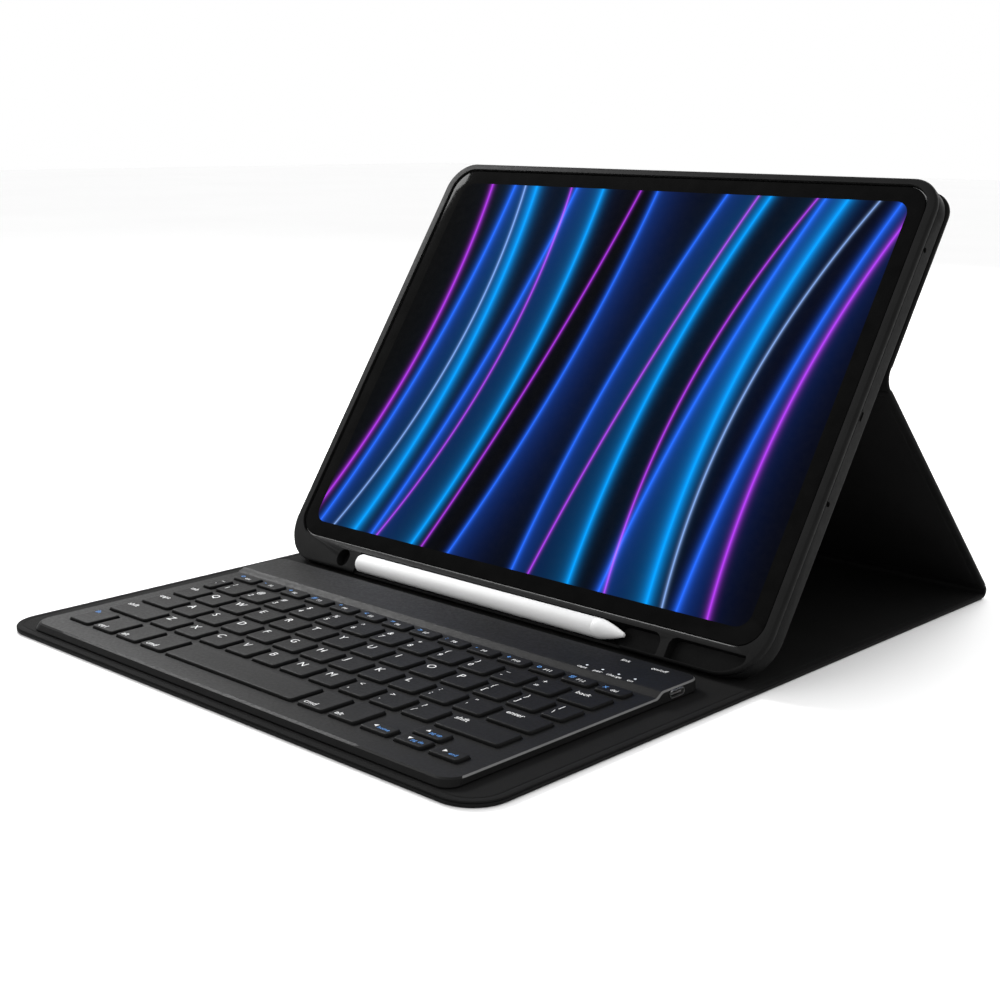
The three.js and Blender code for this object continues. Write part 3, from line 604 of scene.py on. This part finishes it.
def area_light(name, place, target, size, power):
    data = bpy.data.lights.new(name, "AREA")
    data.shape = "RECTANGLE"
    data.size, data.size_y = size
    data.energy = power
    light = bpy.data.objects.new(name, data)
    bpy.context.collection.objects.link(light)
    light.location = place
    light.rotation_euler = (Vector(target) - Vector(place)).to_track_quat("-Z", "Y").to_euler()


# Each light's name, place, target and size in metres, and power in watts.
LIGHTS = (
    ("key", (-0.62, 0.07, 0.5), (-0.10, -0.06, 0.0), (0.2, 0.2), 5.2),
    ("front", (-0.5, -1.3, 0.9), (0, 0, 0.03), (0.8, 0.5), 1.2),
    ("behind", (-0.2, 1.5, 0.9), (0, 0.1, 0.05), (1.0, 0.6), 16),
)
FLOOR_HALF_WIDTH = 6.0


def make_studio():
    mesh = bmesh.new()
    bmesh.ops.create_grid(mesh, x_segments=2, y_segments=2, size=FLOOR_HALF_WIDTH)
    data = bpy.data.meshes.new("floor")
    mesh.to_mesh(data)
    mesh.free()
    floor = bpy.data.objects.new("floor", data)
    bpy.context.collection.objects.link(floor)
    n = Nodes("pale_floor")
    data.materials.append(n.set(
        Base_Color=n.grey(n.noise(3, 2), 0.96, 0.98), Roughness=0.8, Specular_IOR_Level=0.1))

    world = bpy.data.worlds.new("studio")
    world.use_nodes = True
    background = world.node_tree.nodes["Background"]
    background.inputs["Color"].default_value = (1, 1, 1, 1)
    background.inputs["Strength"].default_value = 1.0
    bpy.context.scene.world = world
    bpy.context.scene.view_settings.view_transform = "Standard"

    for light in LIGHTS:
        area_light(*light)


# ---------------------------------------------------------------- cover

def weld(height, depth_sign):
    """(inset, height) pairs of the shallow line welded in from an edge."""
    return [
        (WELD_INSET - WELD_HALF, height),
        (WELD_INSET, height - depth_sign * WELD_DEPTH),
        (WELD_INSET + WELD_HALF, height),
    ]


def skin_mesh(sides, radii):
    """The outer skin: turned up round its edge, with a pocket for the board."""
    profile = weld(0, -1)[::-1]
    profile += fillet(0, 0, COVER_FILLET, top=False)
    profile += [(0, RIM_TOP - RIM_EASE), (RIM_EASE, RIM_TOP), (EDGE_RIM, RIM_TOP),
                (EDGE_RIM, SKIN)]
    return stack(sides, radii, [(WELD_INSET + WELD_FLAT, 0)] + profile, COVER_STEPS)


def lining_mesh(sides, radii):
    """The lining: a thin sheet with a rounded upper edge."""
    profile = [(WELD_FLAT, LINING_BOTTOM), (LINING_EDGE, LINING_BOTTOM),
               (0, LINING_BOTTOM + LINING_EASE)]
    profile += fillet(0, COVER, COVER - LINING_BOTTOM - LINING_EDGE, top=True, steps=3)
    profile += weld(COVER, 1) + [(WELD_INSET + WELD_FLAT, COVER)]
    return stack(sides, radii, profile, COVER_STEPS)


def make_panel(prefix, body, matrix, sides, radii, window=None):
    """A panel's skin and lining, cut by a window where there is one."""
    for layer, mesh, material, slot in (
        ("skin", skin_mesh(sides, radii), "leather", "cover_leather"),
        ("lining", lining_mesh(sides, radii), "lining", "cover_lining"),
    ):
        if window:
            mesh = carved(mesh, [window()])
        piece = make(f"{prefix}_{layer}_sheet", mesh, material, matrix)
        finish_piece(piece, body, slot, f"{prefix}_{layer}")


def sheet_section(thickness):
    """The section of the bare sheet across its width, as (x, offset) points."""
    half = WIDTH / 2
    edge = thickness / 2
    points = []
    for side in (1, -1):
        for step in range(SHEET_STEPS + 1):
            angle = -0.5 * math.pi + math.pi * step / SHEET_STEPS
            if side < 0:
                angle += math.pi
            centre = side * (half - edge)
            points.append((centre + edge * math.cos(angle), edge * math.sin(angle)))
    return points


def make_crease(name, node, path):
    """A strip of bare sheet swept along (point, normal) stations across a fold."""
    rings = []
    for place, normal in path:
        rings.append([(x, *(place + normal * offset).yz) for x, offset in sheet_section(CREASE)])
    piece = make(name, lofted(rings), "leather")
    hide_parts(node)
    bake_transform(piece)


def fold_path(matrix_a, matrix_b, end_a, end_b, centre, radius, sweep_from, sweep, outward):
    """Stations that leave one panel, bend round a fold and enter the next."""
    def flat(matrix, y):
        origin = matrix @ Vector((0, y, 0))
        normal = (matrix.to_3x3() @ Vector((0, 0, 1))).normalized()
        return origin, normal

    stations = [flat(matrix_a, end_a)]
    for step in range(FOLD_STEPS + 1):
        angle = sweep_from + sweep * step / FOLD_STEPS
        ray = Vector((0, math.cos(angle), math.sin(angle)))
        stations.append((centre + ray * radius, ray * outward))
    stations.append(flat(matrix_b, end_b))
    return stations


def make_cover():
    half = WIDTH / 2
    make_panel("base", "base", BASE, (-half, half, 0, BASE_END),
               (FRONT_CORNER, FRONT_CORNER, FOLD_CORNER, FOLD_CORNER))
    down = Matrix.Translation((0, 0, -COVER / 2))
    make_panel("leg", "leg", LEG @ down,
               (-half, half, FOLD_MARGIN, LEG_LENGTH - FOLD_MARGIN), FOLD_CORNER)
    make_panel("back", "screen_side", SCREEN @ Matrix.Translation((0, 0, PANEL_MIDDLE)) @ down,
               (-half, half, KNEE_RISE + FOLD_MARGIN, TABLET[1] + TRAY_TOP),
               (FOLD_CORNER, FOLD_CORNER, TOP_CORNER, TOP_CORNER),
               lambda: camera_hole(-1, COVER + 1))

    # The bare sheet runs along the middle of the panels' thickness and bends between them.
    base_middle = BASE @ Matrix.Translation((0, 0, COVER / 2))
    radius = FOLD_MARGIN / math.tan(LEG_ANGLE / 2)
    centre = base_middle @ Vector((0, BASE_END, radius))
    path = fold_path(base_middle, LEG, BASE_END - CREASE_TUCK, FOLD_MARGIN + CREASE_TUCK,
                     centre, radius, -math.pi / 2, LEG_ANGLE, -1)
    make_crease("rear_fold_sheet", "rear_crease", path)

    radius = FOLD_MARGIN / math.tan(KNEE_ANGLE / 2)
    leg_end = LEG_LENGTH - FOLD_MARGIN
    centre = LEG @ Vector((0, leg_end, -radius))
    panel = SCREEN @ Matrix.Translation((0, 0, PANEL_MIDDLE))
    panel_end = KNEE_RISE + FOLD_MARGIN
    path = fold_path(LEG, panel, leg_end - CREASE_TUCK, panel_end + CREASE_TUCK,
                     centre, radius, LEG_ANGLE + math.pi / 2, -KNEE_ANGLE, 1)
    make_crease("knee_fold_sheet", "knee_crease", path)


# ---------------------------------------------------------------- tray, tablet and stylus

CAMERA_BUMP = 24.0
CAMERA_CORNER = 7.0
CAMERA_MARGIN = 4.5
CAMERA_RISE = 0.3
CAMERA_EDGE = 6
CAMERA_X = -TABLET[0] / 2 + CAMERA_EDGE + CAMERA_BUMP / 2
CAMERA_Y = TABLET[1] - CAMERA_EDGE - CAMERA_BUMP / 2

# Each lens's name, its place from the middle of the bump, and its radius.
LENSES = (
    ("camera_lens_wide", -4.8, 4.8, 4.6), ("camera_lens_far", -4.8, -5.2, 4.6),
    ("camera_flash", 6.0, 5.0, 2.4), ("camera_sensor", 6.0, -5.0, 2.8),
)

CLEAR = 2
TRAY_BACK_FILLET = 2.0
TRAY_LIP_FILLET = 1.3
TRAY_SEAM = [(0, -2.2), (0.16, -2.05), (0.16, -1.9), (0, -1.75)]
TRAY_EASE = (0.35, 48, 2)
TROUGH_WALL = 1.3
FINGER_LENGTH = 18.7
FINGER_OVERLAP = 6
FINGER_DEPTH = 6
FINGER_CORNERS = (0.1, 0.6, 4.5, 4.5)
RECESS_START = 100
RECESS_DEPTH = 5.4
RECESS_STEPS = 24
RECESS_SIDE_WALL = 2 * TROUGH_WALL
OVAL_HOLE = (-104.5, -96.5)
OVAL_RADIUS = 3.98
MICROPHONE = (4.4, 1.6)
VENT = 2.4
VENT_HEIGHTS = (67.5, 186)
SLOT_EASE = 0.02


def camera_hole(bottom, top):
    """A cutter for the window that the camera looks through."""
    half = CAMERA_BUMP / 2 + CAMERA_MARGIN
    sides = (CAMERA_X - half, CAMERA_X + half, CAMERA_Y - half, CAMERA_Y + half)
    return prism(outline(*sides, CAMERA_CORNER + CAMERA_MARGIN), bottom, top)


def side_slot(y, length, height, side):
    """A cutter for a round-ended slot through the tray's right or left wall."""
    middle = -TABLET[2] / 2
    half = length / 2
    sides = (y - half, y + half, middle - height / 2, middle + height / 2)
    points = outline(*sides, height / 2 - SLOT_EASE, steps=5)
    inner, outer = TABLET[0] / 2 - 1, WIDTH / 2 + 1
    return bar(points, inner, outer) if side > 0 else bar(points, -outer, -inner)


def recess_outline(lower, upper):
    """The corner recess in plan: its right end follows the corner of the tray."""
    start = RECESS_START
    bend = TRAY_FOOT_CORNER - RECESS_SIDE_WALL
    right_end = WIDTH / 2 - RECESS_SIDE_WALL
    points = [(start, lower)]
    for step in range(RECESS_STEPS + 1):
        angle = 0.5 * math.pi * step / RECESS_STEPS
        x = right_end - bend + bend * math.sin(angle)
        y = lower + bend - bend * math.cos(angle)
        if y < upper - 3:
            points.append((x, y))
    end = points[-1][0]
    return points + [(end + 0.8, upper - 1.6), (end + 0.2, upper), (start + 3, upper),
                     (start + 1, upper - 0.9), (start, upper - 3)]


def make_tray():
    half = WIDTH / 2
    bottom, top = -TRAY_STRIP, TABLET[1] + TRAY_TOP
    profile = fillet(0, -TRAY_BACK, TRAY_BACK_FILLET, top=False, steps=6)
    profile += TRAY_SEAM + fillet(0, TRAY_LIP, TRAY_LIP_FILLET, top=True, steps=6)
    corners = (TRAY_FOOT_CORNER, TRAY_FOOT_CORNER, TRAY_CORNER, TRAY_CORNER)
    shell = stack((-half, half, bottom, top), corners, profile, 16)

    above = TRAY_LIP + CLEAR
    gap = POCKET_GAP
    pocket = prism(outline(
        -TABLET[0] / 2 - gap, TABLET[0] / 2 + gap, -gap, TABLET[1] + gap,
        TABLET_CORNER + gap, steps=12), -TABLET[2] - gap, above)
    trough_radius = STYLUS_RADIUS + gap
    left = STYLUS_OFFSET - STYLUS_LENGTH / 2 - 2 * gap
    right = STYLUS_OFFSET + STYLUS_LENGTH / 2 + 2 * gap
    lower = bottom + TROUGH_WALL
    upper = -STYLUS_DROP + trough_radius
    trough = bar(ring_points(-STYLUS_DROP, -STYLUS_DEPTH, trough_radius, 40), left, right)
    mouth = block(left + 0.01, right - 0.01, bottom - 1, upper, -STYLUS_DEPTH, above)
    finger = prism(
        outline(right - FINGER_OVERLAP, right + FINGER_LENGTH, lower, upper, FINGER_CORNERS),
        TRAY_LIP - FINGER_DEPTH, above)
    recess = prism(recess_outline(lower, upper), TRAY_LIP - RECESS_DEPTH, above)
    hole = prism(
        outline(*OVAL_HOLE, -STYLUS_DROP - STYLUS_RADIUS, -STYLUS_DROP + STYLUS_RADIUS,
                OVAL_RADIUS),
        TRAY_LIP - RECESS_DEPTH, above)
    rest = BASE.translation.z + COVER + PANEL_GAP
    level = block(-half - 9, half + 9, -80, 120, -80, rest)
    level.transform(SCREEN.inverted() @ Matrix.Translation((0, SCREEN.translation.y, 0)))
    window = camera_hole(-TRAY_BACK - 1, -TABLET[2])
    slots = [side_slot(TABLET[1] / 2, *MICROPHONE, 1)]
    for side in (-1, 1):
        slots += [side_slot(y, VENT, VENT, side) for y in VENT_HEIGHTS]
    cutters = [pocket, trough, mouth, finger, recess, hole, level, window, *slots]
    mesh = carved(shell, cutters, bevel=TRAY_EASE)
    tray = make("soft_tray", mesh, "soft_shell", SCREEN, sharp=50)
    finish_piece(tray, "screen_side", "soft_shell", "tablet_tray")


def make_tablet():
    """The tablet's glass, whose last face is the lit picture inside the black border."""
    width, height, _ = TABLET
    sides = (-width / 2 + GLASS_INSET, width / 2 - GLASS_INSET, GLASS_INSET, height - GLASS_INSET)
    profile = [(0.1, -GLASS), (0, -GLASS + 0.1)] + fillet(0, 0, 0.45, top=True, steps=4)
    border = DISPLAY_BORDER - GLASS_INSET
    steps = 12
    rings = [[(x, y, z) for x, y in outline(*sides, TABLET_CORNER - GLASS_INSET, inset, steps)]
             for inset, z in profile]
    picture = outline(*sides, DISPLAY_CORNER + border, border, steps)
    mesh = lofted(rings + [[(x, y, 0) for x, y in picture]])
    mesh.faces.ensure_lookup_table()
    mesh.faces[-1].material_index = 1
    glass = make("screen_glass", mesh, ["glass", "picture"], SCREEN, sharp=60)
    finish_piece(glass, "tablet", "screen_glass", "tablet_glass")


def make_camera_bump():
    """The tablet's camera: a raised plate with two lenses, a flash and a sensor."""
    half = CAMERA_BUMP / 2
    top = -TABLET[2] - CAMERA_RISE
    sides = (CAMERA_X - half, CAMERA_X + half, CAMERA_Y - half, CAMERA_Y + half)
    profile = fillet(0, top - 1.2, 0.5, top=False) + [(0, top - 0.1), (0.1, top)]
    plate = make("camera_plate", stack(sides, CAMERA_CORNER, profile), "aluminium", SCREEN)
    finish_piece(plate, "tablet", "camera", "tablet_camera")
    low = top - 1.2
    for name, dx, dy, radius in LENSES:
        ring = [(radius * 0.05, low + 0.2), (radius, low + 0.2), (radius, low - 0.25),
                (radius - 0.35, low - 0.4), (radius - 0.9, low - 0.4), (radius - 1.1, low - 0.15),
                (radius * 0.05, low - 0.22)]
        mesh = turned(ring, 40)
        material = "light" if name == "camera_flash" else "lens"
        lens = make(name, mesh, material, SCREEN @ Matrix.Translation(
            (CAMERA_X + dx, CAMERA_Y + dy, 0)))
        finish_piece(lens, "tablet", "camera")


STYLUS_END_RADIUS = 2
STYLUS_JOINT = 0.1
STYLUS_SIDES = 64
POINT_RADIUS = 1.0
CONE_BULGE = 0.35


def make_stylus():
    start = Vector((STYLUS_OFFSET - STYLUS_LENGTH / 2, -STYLUS_DROP, -STYLUS_DEPTH))
    matrix = SCREEN @ Matrix.Translation(start) @ Matrix.Rotation(math.pi / 2, 4, "Y")
    radius, barrel = STYLUS_RADIUS, STYLUS_LENGTH - STYLUS_TIP
    profile = [(0.1, 0)]
    end = STYLUS_END_RADIUS
    for step in range(7):
        angle = 0.5 * math.pi * step / 6
        profile.append((radius - end + end * math.sin(angle), end - end * math.cos(angle)))
    profile += [(radius, barrel - STYLUS_JOINT), (radius - 0.05, barrel), (0.1, barrel)]
    body = make("stylus_body", turned(profile, STYLUS_SIDES), "stylus", matrix)
    finish_piece(body, "stylus", "stylus_shell", "stylus_barrel")
    base = barrel + STYLUS_JOINT
    cone = [(0.1, base), (radius - 0.05, base), (radius, barrel + 2 * STYLUS_JOINT)]
    shoulder = STYLUS_LENGTH - STYLUS_CONE
    length = STYLUS_CONE - 0.5
    for step in range(11):
        share = step / 10
        bulge = CONE_BULGE * math.sin(math.pi * share)
        across = radius + (POINT_RADIUS - radius) * share + bulge
        cone.append((across, shoulder + length * share))
    cone += [(0.85, STYLUS_LENGTH - 0.25), (0.1, STYLUS_LENGTH)]
    tip = make("stylus_point", turned(cone, STYLUS_SIDES), "stylus", matrix)
    finish_piece(tip, "stylus", "stylus_shell", "stylus_tip")


# ---------------------------------------------------------------- keyboard

def cap_row(y, depth, units):
    """A row of caps as (x, y, width, depth). A last width of None fills the row."""
    left = -KEY_FIELD / 2
    caps = []
    for unit in units:
        right = KEY_FIELD / 2 if unit is None else left + unit * KEY_PITCH - KEY_GAP
        caps.append(((left + right) / 2, y, right - left, depth))
        left = right + KEY_GAP
    return caps


def key_layout():
    """Each key body's caps, with the legends printed on them."""
    def row_y(index):
        return FIRST_LETTER_ROW_Y + index * ROW_PITCH

    function_unit = (KEY_FIELD + KEY_GAP) / FUNCTION_KEYS / KEY_PITCH
    function = cap_row(FUNCTION_ROW_Y, FUNCTION_DEPTH, [function_unit] * FUNCTION_KEYS)
    number = cap_row(row_y(3), CAP_DEPTH, [0.55] + [1] * 12 + [None])
    upper = cap_row(row_y(2), CAP_DEPTH, [0.95] + [1] * 12 + [None])
    home = cap_row(row_y(1), CAP_DEPTH, [1.3] + [1] * 11 + [None])
    lower = cap_row(row_y(0), CAP_DEPTH, [1.75] + [1] * 10 + [None])
    space = cap_row(SPACE_ROW_Y, SPACE_DEPTH, [1] * 4 + [SPACE_UNITS] + [1] * 4 + [None])
    half = (SPACE_DEPTH - ARROW_GAP) / 2
    front, rear = SPACE_ROW_Y - (half + ARROW_GAP) / 2, SPACE_ROW_Y + (half + ARROW_GAP) / 2
    left, middle, right = space[7:]

    def arrow(cap, y):
        return [(cap[0], y, cap[2], half)]

    return {
        "function_keys": (function, ["esc"] + [f"F{i}" for i in range(1, 13)] + ["del"]),
        "number_keys": (number[:-1], ["`~"] + [
            a + b for a, b in zip("1234567890-=", "!@#$%^&*()_+")]),
        "backspace_key": (number[-1:], ["back"]),
        "tab_key": (upper[:1], ["tab"]),
        "upper_letter_keys": (upper[1:], [*"QWERTYUIOP", "[{", "]}", "\\|"]),
        "caps_lock_key": (home[:1], ["caps"]),
        "home_letter_keys": (home[1:-1], [*"ASDFGHJKL", ";:", "'\""]),
        "enter_key": (home[-1:], ["enter"]),
        "left_shift_key": (lower[:1], ["shift"]),
        "lower_letter_keys": (lower[1:-1], [*"ZXCVBNM", ",<", ".>", "/?"]),
        "right_shift_key": (lower[-1:], ["shift"]),
        "left_modifier_keys": (space[:4], ["fn", "ctrl", "alt", "cmd"]),
        "space_bar": (space[4:5], [""]),
        "right_modifier_keys": (space[5:7], ["cmd", "alt"]),
        "left_arrow_key": (arrow(left, front), ["<"]),
        "up_arrow_key": (arrow(middle, rear), ["^"]),
        "down_arrow_key": (arrow(middle, front), ["v"]),
        "right_arrow_key": (arrow(right, front), [">"]),
    }


CAP_CORNER = 1.5
CAP_DISH = 0.05
CAP_PROFILE = [
    (0.02, -0.75), (0.10, -0.42), (0.26, -0.17), (0.50, -0.03), (0.80, 0), (2.4, -0.10)]


def cap_mesh(mesh, x, y, width, depth):
    """Adds one dished cap with an eased top edge."""
    sides = (x - width / 2, x + width / 2, y - depth / 2, y + depth / 2)
    top = CAP_TOP - CAP_DISH
    profile = [(0, CAP_BOTTOM)] + [(inset, top + drop) for inset, drop in CAP_PROFILE]
    stack(sides, CAP_CORNER, profile, 5, mesh)


PRINT_HALF = 0.02


def lettering(mesh, text, x, y, z, size, align="LEFT"):
    """Adds flat raised lettering to a bmesh, with its upper left corner or middle at x, y."""
    curve = bpy.data.curves.new("lettering", "FONT")
    curve.body = text
    curve.size = size
    curve.resolution_u = 3
    curve.extrude = PRINT_HALF
    curve.align_x = align
    curve.align_y = "TOP" if align == "LEFT" else "CENTER"
    holder = bpy.data.objects.new("lettering", curve)
    bpy.context.collection.objects.link(holder)
    evaluated = holder.evaluated_get(bpy.context.evaluated_depsgraph_get())
    data = bpy.data.meshes.new_from_object(evaluated)
    data.transform(Matrix.Translation((x, y, z)))
    mesh.from_mesh(data)
    bpy.data.objects.remove(holder)
    bpy.data.curves.remove(curve)
    bpy.data.meshes.remove(data)


def triangle(mesh, x, y, z, size, turn):
    angles = (math.pi / 2 + turn + i * 2 * math.pi / 3 for i in range(3))
    points = [(x + size * math.cos(a), y + size * math.sin(a)) for a in angles]
    prism(points, z - PRINT_HALF, z + PRINT_HALF, mesh)


LEGEND_Z = CAP_TOP - 0.085
FUNCTION_MARKS = dict(zip(
    ["esc"] + [f"F{i}" for i in range(1, 13)] + ["del"], "o-+#*<=>:-+o#x"))
ARROW_WORDS = {"^": "pg up", "<": "home", "v": "pg dn", ">": "end"}
TURNS = {"^": 0.0, "<": math.pi / 2, "v": math.pi, ">": -math.pi / 2}


def legend(white, blue, text, x, y, width, depth):
    """One key's print: letters at the upper left, pairs stacked, arrows as triangles."""
    left, top = x - width / 2 + 1.9, y + depth / 2 - 1.9
    if text in TURNS:
        triangle(white, x - 2.4, y + 0.4, LEGEND_Z, 1.2, TURNS[text])
        lettering(blue, ARROW_WORDS[text], x + 2.3, y - 0.4, LEGEND_Z, 2.6, "CENTER")
    elif text == "fn":
        lettering(blue, text, left, top, LEGEND_Z, 3.9)
    elif depth == FUNCTION_DEPTH:
        lettering(white, text, left + 4.2, top - 1.2, LEGEND_Z, 2.9)
        lettering(blue, FUNCTION_MARKS[text], left - 0.2, top + 0.9, LEGEND_Z, 4.2)
    elif len(text) == 1:
        lettering(white, text, left, top, LEGEND_Z, 5.4)
    elif len(text) == 2 and not text.isalpha():
        lettering(white, text[1], left, top + 0.4, LEGEND_Z, 4.2)
        lettering(white, text[0], left, top - 4.9, LEGEND_Z, 4.2)
    elif text:
        lettering(white, text, left, top if depth < SPACE_DEPTH else y - 3.6, LEGEND_Z, 3.9)


def make_keys(layout):
    """The caps of each key body, and their white and blue print."""
    for body, (caps, texts) in layout.items():
        mesh, white, blue = bmesh.new(), bmesh.new(), bmesh.new()
        for (x, y, width, depth), text in zip(caps, texts):
            cap_mesh(mesh, x, y, width, depth)
            legend(white, blue, text, x, y, width, depth)
        keys = make(f"{body}_caps", mesh, "cap", BOARD_FRAME, sharp=50)
        finish_piece(keys, body, "keycap", body)
        for printed, material in ((white, "legend"), (blue, "blue_legend")):
            if printed.verts:
                piece = make(f"{body}_{material}", printed, material, BOARD_FRAME)
                finish_piece(piece, body, "keycap")


LIGHT_X = [87 + 8.2 * i for i in range(4)]
LIGHT_Y = 121.5
LIGHT_RADIUS = 0.7
CONTROL_LABELS = (("link", 95), ("on/off", 112))
CONTROL_LABEL_Y = 136.5
CONTROL_SLOTS = ((92.8, 97.2), (108.8, 115.2))
CONTROL_HEIGHTS = (1.75, 4.05)
USB = (126, 2.9)
USB_HALF = (4.6, 1.7)
USB_CORNER = 1.65
KEY_HOLE_CORNER = 1.7
TOP_WALL = 0.7
RAMP_STEPS = 6
FRONT_CORNER_FLARE = 2
CASE_EASE = (0.6, 30, 1)
NOTCH_STATIONS = ((-110, 0.05), (-104, 1), (80, 1), (86, 0.05))
# Range of normal.z of the bevel faces that take the painted highlight.
HIGHLIGHT_SLOPES = (0.5, 0.82)
SPARE = 5


def paint_edge_highlight(data, half, ramp_top):
    """Puts the lighter material on the narrow bevels round the top of the case: a painted
    highlight line.
    """
    to_case = (Matrix.Scale(MM, 4) @ BOARD_FRAME).inverted()
    low, high = HIGHLIGHT_SLOPES
    for polygon in data.polygons:
        centre = to_case @ polygon.center
        on_ramp = HUMP_FRONT < centre.y < ramp_top and abs(centre.x) < half - 1.5
        if low < polygon.normal.z < high and centre.z > DECK - 1 and not on_ramp:
            polygon.material_index = 1


def case_walls():
    """A cutter for everything outside the case's leaning walls."""
    width, depth = KEYBOARD
    half = width / 2
    rings = []
    for height in (-1, HUMP + 1):
        taper = (height - RIM_BOTTOM) / (DECK - RIM_BOTTOM)
        front = (KEYBOARD_CORNER + FRONT_CORNER_FLARE * taper,) * 2
        side = SIDE_TAPER * taper
        points = outline(-half + side, half - side, FRONT_TAPER * taper, depth,
                         (*front, KEYBOARD_CORNER, KEYBOARD_CORNER))
        rings.append([(x, y, height) for x, y in points])
    around = stack((-half - 20, half + 20, -20, depth + 20), 1, [(0, -0.9), (0, HUMP + 0.9)])
    cutter = bmesh.new()
    cutter.from_mesh(carved(around, [lofted(rings)]))
    return cutter


def case_notch():
    """A cutter for the shallow dip along the middle of the front edge."""
    front = FRONT_TAPER
    return lofted([[
        (x, front - 1.4 * size, DECK - 0.9 * size), (x, front - 1.4 * size, DECK + 0.3),
        (x, front + 1.4 * size, DECK + 0.3), (x, front + 1.2 * size, DECK + 0.01),
    ] for x, size in NOTCH_STATIONS])


def case_cavity(ramp_top):
    """A cutter for the inside of the case, trimmed at its corners."""
    width, depth = KEYBOARD
    end, front, rear = width / 2 - WALL, WALL + FRONT_TAPER, depth - WALL
    deck, hump = DECK - TOP_WALL, HUMP - TOP_WALL
    return lofted([[
        (x, front + trim, -1), (x, rear - trim, -1), (x, rear - trim, hump),
        (x, ramp_top + WALL / 2, hump), (x, HUMP_FRONT + WALL / 2, deck), (x, front + trim, deck),
    ] for x, trim in ((-end, CAVITY_TRIM), (CAVITY_TRIM - end, 0),
                      (end - CAVITY_TRIM, 0), (end, CAVITY_TRIM))])


def case_holes(layout):
    """A cutter for the holes of the keys and the indicator lights."""
    holes = bmesh.new()
    gap = KEY_HOLE_GAP
    for caps, _ in layout.values():
        for x, y, w, d in caps:
            sides = (x - w / 2 - gap, x + w / 2 + gap, y - d / 2 - gap, y + d / 2 + gap)
            prism(outline(*sides, KEY_HOLE_CORNER, steps=3), DECK - 2, DECK + 1, holes)
    for x in LIGHT_X:
        prism(ring_points(x, LIGHT_Y, LIGHT_RADIUS, 16), HUMP - 2, HUMP + 1, holes)
    return holes


def make_case(layout):
    width, depth = KEYBOARD
    half = width / 2
    ramp_top = HUMP_FRONT + RAMP_BLEND
    section = [(-SPARE, RIM_BOTTOM), (depth + SPARE, RIM_BOTTOM), (depth + SPARE, HUMP)]
    for step in range(RAMP_STEPS + 1):
        share = 1 - step / RAMP_STEPS
        rise = share * share * (3 - 2 * share)
        section.append((HUMP_FRONT + RAMP_BLEND * share, DECK + (HUMP - DECK) * rise))
    section.append((-SPARE, DECK))
    solid = bar(section, -half - SPARE, half + SPARE)
    rounded = bmesh.new()
    rounded.from_mesh(carved(solid, [case_walls()], bevel=CASE_EASE))

    (usb_y, usb_z), (usb_length, usb_height) = USB, USB_HALF
    usb = outline(usb_y - usb_length, usb_y + usb_length, usb_z - usb_height, usb_z + usb_height,
                  USB_CORNER, steps=5)
    cutters = [case_notch(), case_cavity(ramp_top), case_holes(layout),
               bar(usb, half - WALL - 1, half + 1)]
    for left, right in CONTROL_SLOTS:
        cutters.append(block(left, right, depth - WALL - 1, depth + 1, *CONTROL_HEIGHTS))
    case = make("keyboard_case", carved(rounded, cutters), ["case", "case_painted_highlight"], BOARD_FRAME,
                sharp=12)
    # Paints a highlight line on the top bevels with the lighter second material.
    paint_edge_highlight(case.data, half, ramp_top)
    finish_piece(case, "keyboard", "keyboard_case", "keyboard_top_case")


def make_bottom_plate():
    """The plate inside the case's rim, with a hole round each screw."""
    half, depth = KEYBOARD[0] / 2, KEYBOARD[1]
    low, high = PLATE
    profile = [(PLATE_EASE, low), (0, low + PLATE_EASE), (0, high)]
    edge = WALL + PLATE_GAP
    solid = stack((-half + edge, half - edge, edge + FRONT_TAPER, depth - edge),
                  KEYBOARD_CORNER, profile)
    holes = bmesh.new()
    to_case = BOARD_FRAME.inverted()
    for index in range(1, 5):
        corner, far = (point(edge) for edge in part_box(f"case_screw_{index}"))
        middle = to_case @ ((corner + far) / 2)
        radius = (far.x - corner.x) / 2 + PLATE_GAP
        prism(ring_points(middle.x, middle.y, radius, 24), -1, 2, holes)
    plate = make("bottom_plate", carved(solid, [holes]), "dark_aluminium", BOARD_FRAME)
    finish_piece(plate, "keyboard", "bottom_plate", "keyboard_bottom_plate")


def make_case_print():
    """Small marks on the raised part: one by each light, and one by each rear control."""
    mesh = bmesh.new()
    z = HUMP + 0.01
    for x, text in zip(LIGHT_X, ("caps", "pair", "charge", "on")):
        lettering(mesh, text, x, LIGHT_Y - 3, z, 2.8, "CENTER")
    for text, x in CONTROL_LABELS:
        lettering(mesh, text, x, CONTROL_LABEL_Y, z, 3.2, "CENTER")
    piece = make("case_marks", mesh, "legend", BOARD_FRAME)
    finish_piece(piece, "keyboard", "keyboard_case")


def dress_remaining_nodes():
    """Gives each CAD node that still shows its own procedural material."""
    finishes = {
        "board": ("base_board", "leg_board", "back_board"),
        "magnet": ("keyboard_magnet_left", "keyboard_magnet_right", "tray_stop_magnet"),
        "aluminium": ("tablet_body",),
        "picture": ("tablet_display",),
        "steel": ("key_plate", "usb_port", *(f"case_screw_{i}" for i in range(1, 5))),
        "battery": ("keyboard_battery",),
        "circuit": ("keyboard_circuit_board",),
        "light": ("indicator_lights",),
        "cap": ("connect_button", "power_switch"),
    }
    for material, nodes in finishes.items():
        for node in nodes:
            slots = frame["nodes"][node].material_slots
            for material_slot in slots:
                material_slot.material = MATERIALS[material]


make_camera()
make_studio()
make_cover()
make_tray()
make_tablet()
make_camera_bump()
make_stylus()
keys = key_layout()
make_keys(keys)
make_case(keys)
make_bottom_plate()
make_case_print()
dress_remaining_nodes()
